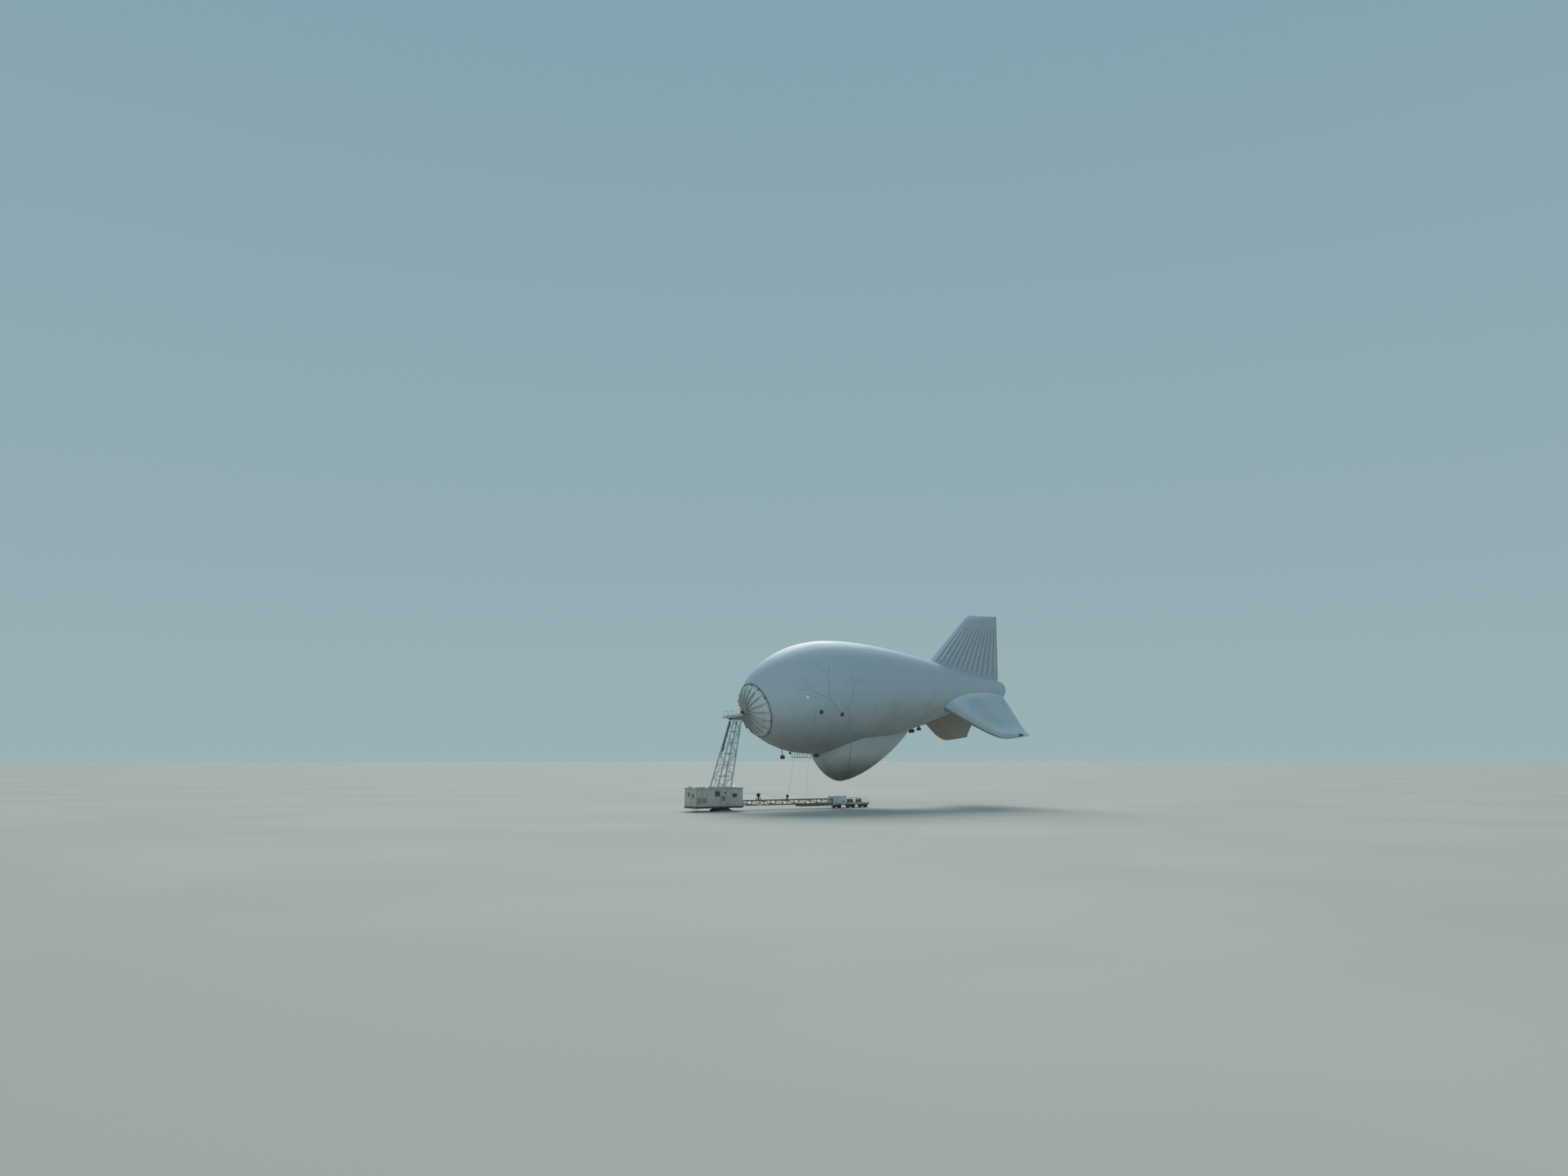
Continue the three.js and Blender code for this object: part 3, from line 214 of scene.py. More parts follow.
def chamfered_faces():
    """Faces of a block with chamfered edges. Each of its corners has three points, one for each axis."""
    faces = []
    for axis in range(3):
        i, j = [a for a in range(3) if a != axis]
        for side in (-1, 1):
            flat = {(c[i], c[j]): 3 * n + axis for n, c in enumerate(CORNERS) if c[axis] == side}
            faces.append([flat[way] for way in ((-1, -1), (1, -1), (1, 1), (-1, 1))])
        for a in (-1, 1):
            for b in (-1, 1):
                low, high = [3 * n for n, c in enumerate(CORNERS) if (c[i], c[j]) == (a, b)]
                faces.append([low + i, high + i, high + j, low + j])
    return faces + [[3 * n + axis for axis in range(3)] for n in range(8)]


CHAMFERED = chamfered_faces()


def across(way):
    """Two directions square to `way` and to each other."""
    side = (UP if abs(way.z) < 0.9 else AHEAD).cross(way).normalized()
    return side, way.cross(side)


def circle(count, shift=0.0):
    """Cosine and sine of places all round a circle, turned on by `shift` steps."""
    turns = [2 * math.pi * (i + shift) / count for i in range(count)]
    return [(math.cos(t), math.sin(t)) for t in turns]


def around(middle, u, v, radius, count, shift=0.0):
    """Points of a circle that starts at `u` and turns towards `v`."""
    return [Vector(middle) + (u * c + v * s) * radius for c, s in circle(count, shift)]


def about(middle, half):
    return middle - half, middle + half


def skin_grid(rings, closed=True):
    """Points and faces between rings of as many points each."""
    count = len(rings[0])
    faces = []
    for r in range(len(rings) - 1):
        for i in range(count if closed else count - 1):
            j = (i + 1) % count
            faces.append((r * count + i, r * count + j, (r + 1) * count + j, (r + 1) * count + i))
    return [p for ring in rings for p in ring], faces


def lofted(rings):
    """Points and faces of a body through these rings, with closed ends."""
    points, faces = skin_grid(rings)
    count, last = len(rings[0]), len(points)
    return points, faces + [tuple(range(count)), tuple(range(last - count, last))]


def mount(piece, body="platform", stands_for=None):
    """Hides the CAD node that a piece stands for, and hangs the piece on the body that it moves with."""
    if stands_for:
        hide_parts(stands_for)
    if body:
        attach(piece, body)
    return piece


class Bench:
    """Gathers the shapes that one piece is made of, in the model's frame or in the frame `place`."""

    def __init__(self, place=None):
        self.place = place
        self.points, self.faces = [], []

    def fit(self, name, material, slot, body="platform", stands_for=None, sharp=35):
        """Makes a piece of what is on the bench and clears it. Edges sharper than `sharp` degrees stay crisp."""
        made = mesh_piece(name, self.points, self.faces, material, self.place)
        made.data.set_sharp_from_angle(angle=math.radians(sharp))
        self.points, self.faces = [], []
        return mount(made, body, stands_for)

    def add(self, points, faces):
        first = len(self.points)
        self.points += points
        self.faces += [tuple(first + i for i in face) for face in faces]

    def box(self, middle, axes, half, edge):
        """A block with chamfered edges, its half sizes measured along three axes."""
        edge = min(edge, *(0.45 * h for h in half))
        for corner in CORNERS:
            for sharp in range(3):
                reach = [c * (h if a == sharp else h - edge) for a, (c, h) in enumerate(zip(corner, half))]
                self.points.append(middle + sum((way * r for way, r in zip(axes, reach)), Vector()))
        first = len(self.points) - 24
        self.faces += [tuple(first + i for i in face) for face in CHAMFERED]

    def block(self, x, y, z, edge=0.004):
        """A block between two places along each axis."""
        middle = Vector([sum(pair) / 2 for pair in (x, y, z)])
        self.box(middle, (AHEAD, PORT, UP), [abs(b - a) / 2 for a, b in (x, y, z)], edge)

    def bar(self, start, end, width, height, up=UP, edge=0.002):
        """A square bar between two points, its height as near to `up` as it can be."""
        start, end = Vector(start), Vector(end)
        along = (end - start).normalized()
        side = up.cross(along)
        side = side.normalized() if side.length > 1e-4 else across(along)[0]
        half = ((end - start).length / 2, width / 2, height / 2)
        self.box((start + end) / 2, (along, side, along.cross(side)), half, edge)

    def turned(self, profile, base, way, sides=32, shut=True):
        """A turned shape: the profile lists radius and place along the axis, and its ends are shut at the axis."""
        base, way = Vector(base), Vector(way).normalized()
        u, v = across(way)
        if shut:
            first, last = ([(0, z)] if r else [] for r, z in (profile[0], profile[-1]))
            profile = first + profile + last
        rings = []
        for radius, along in profile:
            first = len(self.points)
            self.points += around(base + way * along, u, v, radius, sides) if radius else [base + way * along]
            rings.append(range(first, len(self.points)))
        for a, b in zip(rings, rings[1:]):
            for i in range(sides):
                j = (i + 1) % sides
                face = [a[i % len(a)], a[j % len(a)], b[j % len(b)], b[i % len(b)]]
                face = [p for k, p in enumerate(face) if p not in face[:k]]
                if len(face) > 2:
                    self.faces.append(tuple(face))

    def hollow(self, profile, base, way, sides=32):
        """A turned ring, whose profile closes on itself."""
        self.turned(profile + profile[:1], base, way, sides, shut=False)

    def rod(self, start, end, radius, sides=12, edge=0.0):
        """A round bar with closed ends, their rims rounded by `edge`."""
        way = Vector(end) - Vector(start)
        edge = min(edge, 0.4 * radius, 0.4 * way.length)
        ends = [(radius - edge, 0), (radius, edge), (radius, way.length - edge), (radius - edge, way.length)]
        self.turned(ends if edge else ends[::3], start, way, sides)

    def pipe(self, path, radius, sides=10, closed=False):
        """A round tube along a path."""
        path = [Vector(p) for p in path]
        count = len(path)
        side = None
        rings = []
        for i, p in enumerate(path):
            before = path[i - 1] if i or closed else p
            after = path[(i + 1) % count] if i + 1 < count or closed else p
            way = (after - before).normalized()
            side = across(way)[0] if side is None else (side - way * side.dot(way)).normalized()
            rings.append(around(p, side, way.cross(side), radius, sides))
        self.add(*(skin_grid(rings + rings[:1]) if closed else lofted(rings)))

    def bolt(self, at, way, size=0.012):
        """A washer and a hexagon head."""
        washer, head = ((0.95, 0), (0.95, 0.2)), ((0.7, 0.2), (0.7, 0.75), (0.55, 0.85))
        for profile, sides in ((washer, 12), (head, 6)):
            self.turned([(r * size, z * size) for r, z in profile], at, way, sides)


def coated(name, color, bare, roughness=0.5, chips=0.5, streaks=0.4, dusty=0.4, metallic=0.0):
    """Paint on steel: it fades in clouds, rain streaks it, it chips to its primer, and dust lies on its foot."""
    faded = tuple(min(1, 1.12 * c + 0.02) for c in color)
    grimy = tuple(0.55 * c for c in color)

    def paint(at):
        cloud = at.noise(1.3, 4, 0.6)
        streak = at.noise(6.0, 3, 0.6, (1.0, 1.0, 0.10)).step(0.48, 0.72)
        chip = at.noise(30.0, 5, 0.7).step(0.70 - 0.06 * chips, 0.72 - 0.06 * chips)
        grain = at.noise(160.0, 2)
        dust = (1 - at.split()[2].step(0.0, 1.3)) * at.noise(4.0, 4, 0.6).step(0.3, 0.7) * dusty
        painted = cloud.step(0.35, 0.7).mix(faded, color)
        painted = (streak * streaks).mix(painted, grimy)
        painted = (chip * chips).mix(painted, bare)
        return {
            "Base Color": dust.mix(painted, (0.30, 0.27, 0.22)),
            "Roughness": roughness + cloud * 0.15 + dust * 0.3,
            "Metallic": metallic,
            "Normal": (cloud * 0.4 + grain * 0.08 - chip * 0.5).bump(0.35, 0.004),
        }
    return surface(name, paint)


def dress(material, *names):
    """Gives CAD nodes a material in their slots."""
    for name in names:
        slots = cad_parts[name].data.materials
        if not len(slots):
            slots.append(material)
        for i in range(len(slots)):
            slots[i] = material


FOOT_TOP = 0.11
PEDESTAL_TOP = 0.198
ANCHORS = 24
ANCHOR_CIRCLE = 0.885
GUSSET_HALF = 0.006
dark_steel = coated("dark_steel_paint", (0.085, 0.083, 0.078), (0.16, 0.09, 0.05), 0.55, 0.6, 0.35, 0.7)
bolt_steel = coated("galvanised_bolts", (0.30, 0.30, 0.29), (0.20, 0.12, 0.07), 0.45, 0.7, 0.3, 0.4, 0.6)
dress(dark_steel, "pedestal")
bench = Bench()
for foot in around((0, 0, FOOT_TOP), AHEAD, PORT, ANCHOR_CIRCLE, ANCHORS, 0.5):
    bench.rod(foot, foot + UP * 0.048, 0.010, 10, 0.002)
    bench.bolt(foot, UP, 0.024)
bench.fit("pedestal_anchors", bolt_steel, "dark_steel", "base")
gusset = ((0.93, 0.108), (0.93, 0.125), (0.775, PEDESTAL_TOP), (0.74, PEDESTAL_TOP), (0.74, 0.108))
for c, s in circle(ANCHORS):
    way, side = Vector((c, s, 0)), Vector((-s, c, 0)) * GUSSET_HALF
    bench.add(*lofted([[way * r + UP * z + side * k for r, z in gusset] for k in (-1, 1)]))
bench.fit("pedestal_gussets", dark_steel, "dark_steel", "base")


# Slewing ring: a forged ring with its teeth outside, greased, that turns the deck on the pedestal. The teeth are
# tapered blocks set round the ring.
TEETH = 144
RING_RADIUS = 0.75
TOOTH = ((-0.01, 0.0105), (0.012, 0.007), (0.024, 0.004))
TOOTH_FACES = [(0, 2, 3, 1), (2, 4, 5, 3), (6, 7, 9, 8), (8, 9, 11, 10), (0, 6, 8, 2), (2, 8, 10, 4),
               (1, 3, 9, 7), (3, 5, 11, 9), (4, 10, 11, 5), (0, 1, 7, 6)]
grease_steel = coated("greased_steel", (0.12, 0.11, 0.10), (0.05, 0.04, 0.03), 0.32, 0.8, 0.5, 0.3, 0.7)
dress(grease_steel, "slewing_ring")
for c, s in circle(TEETH):
    way, side = Vector((c, s, 0)), Vector((-s, c, 0))
    bench.add([way * (RING_RADIUS + r) + side * half * k + UP * z for z in (0.222, 0.262) for r, half in TOOTH
               for k in (-1, 1)], TOOTH_FACES)
bench.fit("slewing_teeth", grease_steel, "dark_steel")


# Deck frame: welded channels under the houses, with a checker plate on top. Steps and a landing hang from it
# at the crew door, and tie-down eyes stand along its sides.
DECK_FRONT, DECK_REAR = 3.05, -1.70
DECK_TOP = 0.43
DECK_HALF = 1.075
DOOR_X = 1.55
LANDING_FRONT, LANDING_REAR = 1.83, 1.25
LANDING_IN, LANDING_OUT = -1.12, -1.50
LANDING_TOP = 0.40
FLIGHT_REAR, FLIGHT_FRONT = 1.31, 1.77
frame_steel = coated("deck_frame_paint", (0.040, 0.045, 0.045), (0.14, 0.09, 0.06), 0.5, 0.5, 0.3, 0.3)
rail_paint = coated("rail_paint", (0.42, 0.42, 0.39), (0.18, 0.11, 0.07), 0.5, 0.6, 0.3, 0.5)
dress(frame_steel, "deck_frame")
for side in (-1, 1):
    for i in range(9):
        y = side * (DECK_HALF - 0.006), side * (DECK_HALF + 0.024)
        bench.block(about(-1.45 + i * 0.54, 0.006), y, (0.285, 0.42))
    for z in ((0.415, 0.43), (0.283, 0.297)):
        bench.block((DECK_REAR, DECK_FRONT), about(side * (DECK_HALF + 0.006), 0.008), z, 0.002)
for x in (-1.2, 0.5, 2.4):
    for side in (-1, 1):
        bench.pipe(around((x, side * (DECK_HALF + 0.035), 0.355), AHEAD, UP, 0.03, 16), 0.007, 8, closed=True)
        bench.bar((x, side * DECK_HALF, 0.385), (x, side * (DECK_HALF + 0.04), 0.385), 0.05, 0.012)
bench.fit("deck_stiffeners", frame_steel, "dark_steel")
for y in np.arange(-1.10, LANDING_OUT, -0.035):
    bench.block((LANDING_REAR, LANDING_FRONT), about(y, 0.004), (LANDING_TOP, LANDING_TOP + 0.024), 0.001)
for x in (LANDING_REAR, (LANDING_REAR + LANDING_FRONT) / 2, LANDING_FRONT):
    bench.bar((x, -DECK_HALF, 0.405), (x, LANDING_OUT - 0.01, 0.405), 0.018, 0.045)
for k in range(3):
    for y in np.linspace(*about(LANDING_OUT - 0.10 - 0.13 * k, 0.045), 5):
        z = 0.30 - 0.10 * k
        bench.block((FLIGHT_REAR + 0.01, FLIGHT_FRONT - 0.01), about(y, 0.004), (z, z + 0.02), 0.001)
for x in (FLIGHT_REAR, FLIGHT_FRONT):
    bench.bar((x, LANDING_OUT, 0.41), (x, LANDING_OUT - 0.42, 0.07), 0.012, 0.06)
rail_feet = [Vector(p) for p in ((LANDING_REAR, LANDING_IN, LANDING_TOP), (LANDING_REAR, LANDING_OUT, LANDING_TOP),
                                 (FLIGHT_REAR, LANDING_OUT - 0.40, 0.09))]
for foot in rail_feet:
    bench.rod(foot, foot + UP * 0.50, 0.011, 10)
for level in (0.5, 0.28):
    bench.pipe([foot + UP * level for foot in rail_feet], 0.010, 10)
bench.fit("crew_steps", rail_paint, "roof_paint")


# Machinery house and control cabin: folded steel sheet on a steel frame, painted a warm pale grey. Cover strips hide
# the joints of the sheets. The windows are dark glass in steel frames, with one frosted pane.
HOUSE_HALF = 1.05
HOUSE_FRONT, HOUSE_REAR = 3.0, -0.05
CABIN_REAR = -1.64
WALL_TOP, WALL_FOOT = 1.965, 0.435
STRIPS = (-1.24, -0.45, 0.62, 1.22, 1.95, 2.48)
PORTHOLE = Vector((0.14, HOUSE_HALF, 1.61))
LOUVRE_WIDTH, LOUVRE_HEIGHT = 0.34, 0.44
house_paint = coated("house_paint", (0.44, 0.45, 0.41), (0.20, 0.13, 0.09), 0.55, 0.45, 0.40, 0.45)
trim_paint = coated("trim_paint", (0.32, 0.32, 0.29), (0.18, 0.11, 0.07), 0.5, 0.6, 0.3, 0.4)
dress(house_paint, "machinery_house", "control_cabin")


def glass_paint(at):
    smear = at.noise(5.0, 4, 0.6, (1.0, 1.0, 0.3)).step(0.4, 0.8)
    return {
        "Base Color": smear.mix((0.012, 0.016, 0.018), (0.045, 0.05, 0.05)),
        "Roughness": 0.05 + smear * 0.25,
        "Coat Weight": 0.4,
        "Normal": at.noise(2.0, 1).bump(0.05, 0.01),
    }


def frosted_paint(at):
    grain = at.noise(40.0, 3, 0.6)
    stain = at.noise(3.0, 3, 0.6, (1.0, 1.0, 0.4)).step(0.4, 0.8)
    return {
        "Base Color": stain.mix((0.19, 0.25, 0.215), (0.13, 0.16, 0.135)),
        "Roughness": 0.5 + grain * 0.2,
        "Normal": grain.bump(0.3, 0.002),
    }


def window(panes, middle, width, height, out, bars=1):
    """A steel window in a wall: frame, glazing bars, rain hood and glass. `out` points out of the wall."""
    middle, out = Vector(middle), Vector(out)
    side = UP.cross(out)
    w, h = width / 2, height / 2
    face = middle + out * 0.008

    def beam(bench, at, reach, deep, thick, up=out):
        bench.bar(at - reach, at + reach, deep, thick, up)

    for a in (-1, 1):
        beam(bench, face + side * a * (w + 0.012), UP * (h + 0.03), 0.04, 0.022)
        beam(bench, face + UP * a * (h + 0.012), side * w, 0.04, 0.019)
    for k in range(bars):
        beam(bench, face + side * (width * (k + 1) / (bars + 1) - w), UP * h, 0.016, 0.018)
    beam(bench, face + UP * (h + 0.04) + out * 0.02, side * (w + 0.04), 0.05, 0.008, UP)
    beam(panes, middle - out * 0.025, side * (w + 0.005), height + 0.01, 0.008)


glass = surface("window_glass", glass_paint)
panes, frosted = Bench(), Bench()
window(frosted, (0.3, HOUSE_HALF, 1.1), 0.3, 0.35, PORT)
for x, z, width, height in ((0.915, 1.525, 0.45, 0.425), (-0.835, 1.365, 0.45, 0.31)):
    for side in (1, -1):
        window(panes, (x, side * HOUSE_HALF, z), width, height, (0, side, 0), 2)
for y, z, width, height in ((-0.355, 1.47, 0.25, 0.34), (0.48, 1.35, 0.275, 0.325)):
    window(panes, (HOUSE_FRONT, y, z), width, height, AHEAD)
for y in (-0.45, 0.45):
    window(panes, (CABIN_REAR, y, 1.365), 0.45, 0.31, -AHEAD, 2)
bench.hollow([(0.083, 0), (0.118, 0), (0.118, 0.012), (0.108, 0.022), (0.090, 0.022), (0.083, 0.012)],
             PORTHOLE, PORT, 40)
for at in around(PORTHOLE + PORT * 0.018, AHEAD, UP, 0.104, 8):
    bench.bolt(at, PORT, 0.008)
panes.rod(PORTHOLE - PORT * 0.03, PORTHOLE - PORT * 0.02, 0.086, 32)
bench.fit("window_frames", trim_paint, "house_paint")
panes.fit("window_panes", glass, "black_fittings")
frosted.fit("frosted_pane", surface("frosted_glass", frosted_paint), "house_paint")

for side in (-1, 1):
    y = side * (HOUSE_HALF + 0.004)
    for x in STRIPS:
        if side > 0 or abs(x - DOOR_X) > 0.3:
            bench.block(about(x, 0.022), about(y, 0.006), (WALL_FOOT, WALL_TOP), 0.003)
    for x in ((CABIN_REAR, HOUSE_REAR - 0.012), (HOUSE_REAR, HOUSE_FRONT)):
        for z in ((WALL_FOOT, WALL_FOOT + 0.05), (WALL_TOP - 0.05, WALL_TOP)):
            bench.block(x, about(y, 0.008), z, 0.003)
for x, way, places in ((HOUSE_FRONT, 1, (-0.08, 0.08)), (CABIN_REAR, -1, (0.0,))):
    for y in places:
        bench.block((x - way * 0.002, x + way * 0.010), about(y, 0.022), (WALL_FOOT, WALL_TOP), 0.003)
    for z in ((WALL_FOOT, WALL_FOOT + 0.05), (WALL_TOP - 0.05, WALL_TOP)):
        bench.block((x - way * 0.006, x + way * 0.014), about(0, HOUSE_HALF), z, 0.003)
    for side in (-1, 1):
        y = side * HOUSE_HALF
        bench.block((x - way * 0.045, x + way * 0.018), (y - side * 0.045, y + side * 0.016),
                    (WALL_FOOT, WALL_TOP), 0.006)
bench.fit("wall_trim", trim_paint, "house_paint")

for x, z, out in ((2.22, 0.95, 1), (2.72, 0.95, 1), (2.3, 0.95, -1), (-0.3, 0.8, -1)):
    face = out * (HOUSE_HALF + 0.012)
    wide, high = about(x, LOUVRE_WIDTH / 2), about(z, LOUVRE_HEIGHT / 2)
    for a in (0, 1):
        bench.block(about(wide[a], 0.015), about(face, 0.014), high, 0.003)
        bench.block(wide, about(face, 0.012), about(high[a], 0.015), 0.003)
    for k in range(10):
        slat = [(end, face + out * 0.002, high[0] + 0.035 + k * 0.041) for end in wide]
        bench.bar(*slat, 0.030, 0.004, Vector((0, out * 0.8, 0.9)))
bench.fit("wall_louvres", trim_paint, "house_paint")

for x, side in ((1.95, -1), (-0.45, 1), (-1.45, -1), (2.85, 1)):
    y = side * HOUSE_HALF
    bench.block(about(x, 0.03), (y - side * 0.004, y + side * 0.034), (1.76, 1.86), 0.008)
    bench.turned([(0.030, 0), (0.030, 0.012), (0.024, 0.034), (0.012, 0.046), (0, 0.048)],
                 (x, y + side * 0.028, 1.81), (0, side, 0), 20)
for x, side in ((2.05, -1), (0.62, 1)):
    y = side * (HOUSE_HALF + 0.02)
    bench.pipe([(x, y, WALL_TOP - 0.06), (x, y, 0.60), (x + 0.06, y, 0.52), (x + 0.06, y, 0.44)], 0.014, 10)
    for z in (0.7, 1.1, 1.5):
        bench.block(about(x, 0.022), (y - 0.010, y + 0.018), about(z, 0.008), 0.002)
bench.fit("wall_gear", trim_paint, "house_paint")


# Crew door: a pressed steel door on three lift-off hinges, with a small window, a knob and a kick plate. Its panels
# and hinges swing with it on the hinge pins' axis.
DOOR_FACE = -1.0905
HINGE_X = DOOR_X + 0.25
HINGE_Y = DOOR_FACE + 0.030
door = about(DOOR_X, 0.10)
bench.block(about(DOOR_X, 0.20), (DOOR_FACE - 0.004, DOOR_FACE + 0.002), (0.50, 0.62), 0.002)
bench.block(about(DOOR_X, 0.17), (DOOR_FACE - 0.006, DOOR_FACE + 0.002), (0.66, 1.02))
for a in (0, 1):
    bench.block(about(door[a], 0.012), (DOOR_FACE - 0.010, DOOR_FACE + 0.002), (1.11, 1.36), 0.003)
    bench.block(door, (DOOR_FACE - 0.008, DOOR_FACE + 0.0015), about((1.12, 1.35)[a], 0.012), 0.003)
for z in (0.62, 0.98, 1.34):
    bench.rod((HINGE_X, HINGE_Y, z - 0.045), (HINGE_X, HINGE_Y, z + 0.045), 0.0095, 14, 0.003)
    bench.block((DOOR_X + 0.14, HINGE_X), (DOOR_FACE - 0.009, DOOR_FACE + 0.001), about(z, 0.03), 0.002)
    bench.block((HINGE_X - 0.009, HINGE_X + 0.0005), (DOOR_FACE - 0.007, HINGE_Y), about(z, 0.028), 0.002)
    for dx in (0.16, 0.20):
        bench.bolt((DOOR_X + dx, DOOR_FACE - 0.009, z), -PORT, 0.008)
bench.turned([(0.022, 0), (0.022, 0.01), (0.012, 0.014), (0.010, 0.035), (0, 0.036)],
             (DOOR_X - 0.18, DOOR_FACE, 0.975), -PORT, 20)
bench.fit("house_door_fittings", trim_paint, "house_paint", "house_door")
bench.block(door, (DOOR_FACE - 0.005, DOOR_FACE + 0.001), (1.12, 1.35), 0.001)
bench.fit("house_door_pane", glass, "black_fittings", "house_door")
dress(house_paint, "house_door")


# Roofs: flat steel sheets with welded seams, drained by a lip all round. Lifting eyes, hatches, vents and a
# cable duct stand on them.
ROOF_TOP = 2.03
roof_paint = coated("roof_paint", (0.40, 0.39, 0.35), (0.17, 0.11, 0.07), 0.65, 0.7, 0.2, 0.2)
dress(roof_paint, "house_roof", "cabin_roof")
for x in (-1.24, -0.9, -0.45, 1.22, 1.95, 2.48):
    bench.block(about(x, 0.012), (-1.085, 1.085), (ROOF_TOP - 0.002, ROOF_TOP + 0.010), 0.003)
for side in (-1, 1):
    for x in ((-1.68, -0.055), (-0.045, 3.04)):
        bench.block(x, about(side * 1.082, 0.011), (1.958, ROOF_TOP + 0.014), 0.003)
for x in (3.04, -1.68):
    bench.block(about(x, 0.008), (-1.096, 1.096), (1.956, ROOF_TOP + 0.016), 0.003)
for x in (-1.55, -0.16, 0.1, 2.9):
    for side in (-1, 1):
        bench.pipe(around((x, side * 0.98, ROOF_TOP + 0.034), AHEAD, UP, 0.032, 14), 0.008, 8, closed=True)
for x, y, half, top in ((1.55, -0.55, 0.22, 0.05), (2.35, 0.35, 0.26, 0.06), (1.35, 0.62, 0.16, 0.11)):
    bench.block(about(x, half), about(y, half), (ROOF_TOP - 0.002, ROOF_TOP + top), 0.012)
    bench.block(about(x, half + 0.015), about(y, half + 0.015), (ROOF_TOP + top, ROOF_TOP + top + 0.018), 0.006)
for y in (-0.5, -0.75):
    bench.turned([(0.055, 0), (0.055, 0.10), (0.09, 0.11), (0.085, 0.14), (0.03, 0.16)], (2.75, y, ROOF_TOP), UP, 24)
bench.pipe([(x, 0.3, ROOF_TOP + 0.02) for x in (0.95, 1.1, 1.19)], 0.018, 10)
bench.fit("roof_gear", roof_paint, "roof_paint")


# Roof dome: a glass fibre cover over a rotating antenna, moulded in white. Its flange is bolted to the roof all
# round.
DOME_X = -1.39


def fibre_paint(at):
    cloud = at.noise(2.5, 4, 0.6)
    return {
        "Base Color": cloud.step(0.3, 0.8).mix((0.86, 0.88, 0.89), (0.74, 0.76, 0.74)),
        "Roughness": 0.32 + cloud * 0.2,
        "Coat Weight": 0.2,
        "Normal": at.noise(60.0, 2).bump(0.1, 0.002),
    }


def bowl(radius, height, steps, foot=0.0, first=0.0):
    """Profile of a bowl that narrows to the axis, from the turn `first` of a quarter round."""
    turns = np.linspace(first, math.pi / 2, steps)[:-1]
    return [(radius * math.cos(t), foot + height * math.sin(t)) for t in turns] + [(0, foot + height)]


dome_shell = surface("dome_shell", fibre_paint)
bench.turned([(0.25, 0), (0.25, 0.014), (0.222, 0.018)] + bowl(0.215, 0.13, 16, 0.03), (DOME_X, 0, ROOF_TOP), UP, 56)
for at in around((DOME_X, 0, ROOF_TOP + 0.014), AHEAD, PORT, 0.237, 16):
    bench.bolt(at, UP, 0.009)
bench.fit("antenna_dome", dome_shell, "white_paint", stands_for="roof_dome")


# Main winch: a spooled steel tether on a drum between two bearing frames, with its motor and gear case. It fills
# the middle of the machinery house, behind the door and the windows.
WINCH = Vector((0.78, 0, DECK_TOP + 0.40))
ROPE_TURNS = 24
ROPE_PITCH = 0.0265


def wound_rope(radius, depth, turns, pitch, first, steps):
    """Profile of rope wound on a drum, one hump for each turn."""
    return [(radius + depth * math.sin(math.pi * f), first + (k + f) * pitch) for k in range(turns) for f in steps]


tether_rope = coated("tether_rope", (0.055, 0.055, 0.055), (0.10, 0.10, 0.10), 0.5, 0.3, 0.2, 0.1)
bench.block((0.45, 1.10), (-0.5, 0.5), (DECK_TOP, DECK_TOP + 0.06), 0.006)
for y in (-0.48, 0.28):
    bench.block((0.50, 1.05), (y, y + 0.05), (DECK_TOP + 0.05, DECK_TOP + 0.50), 0.01)
    bench.turned([(0.10, -0.02), (0.10, 0.07)], WINCH + PORT * y, PORT, 28)
for y in (-0.42, 0.24):
    bench.turned([(0.27, 0), (0.27, 0.025)], WINCH + PORT * y, PORT, 40)
bench.block((0.60, 0.98), (0.34, 0.50), (DECK_TOP + 0.06, DECK_TOP + 0.55), 0.02)
bench.turned([(0.09, 0), (0.09, 0.24)], WINCH + PORT * 0.25 + UP * 0.22, PORT, 28)
bench.fit("tether_winch", dark_steel, "dark_steel", stands_for="main_winch")
wound = wound_rope(0.196, 0.012, ROPE_TURNS, ROPE_PITCH, 0, (0.0, 0.25, 0.5, 0.75))
bench.turned(wound + [(0.196, ROPE_TURNS * ROPE_PITCH)], WINCH - PORT * 0.395, PORT, 36)
bench.fit("tether_on_drum", tether_rope, "dark_steel", sharp=80)


# Boom: a welded truss that reaches under the hull. Gusset plates join its members at each post, a cable tray
# runs along its starboard chord, and switch cabinets hang on its port side.
BOOM_FRONT, BOOM_REAR = -1.7004, -11.9
BOOM_LOW, BOOM_HIGH = 0.44, 0.85
BOOM_HALF = 0.385
BOOM_BAYS = 8
WEB = 0.045
PLATE_REACH = 0.11
TRAY_TOP = 0.806
CABLES = 3
CABLE_RADIUS = 0.0045
boom_paint = coated("boom_paint", (0.095, 0.102, 0.10), (0.16, 0.10, 0.065), 0.55, 0.6, 0.3, 0.35)
dress(boom_paint, "boom_truss")
bolts = Bench()
for side in (-1, 1):
    face = side * (BOOM_HALF + 0.042)
    for x in np.linspace(BOOM_REAR + WEB, BOOM_FRONT - WEB, BOOM_BAYS + 1):
        rear, front = max(x - PLATE_REACH, BOOM_REAR + 0.002), min(x + PLATE_REACH, BOOM_FRONT - 0.002)
        for level, way in ((BOOM_LOW, 1), (BOOM_HIGH, -1)):
            bench.block((rear, front), (face, face - side * 0.01), (level - way * 0.03, level + way * 0.10), 0.003)
            for dx in (-0.08, -0.03, 0.03, 0.08):
                if rear < x + dx < front:
                    bolts.bolt((x + dx, face, level + way * 0.01), (0, side, 0), 0.008)
                    bolts.bolt((x + dx * 0.5, face, level + way * 0.07), (0, side, 0), 0.008)
tray = (BOOM_REAR + 0.1, BOOM_FRONT - 0.05)
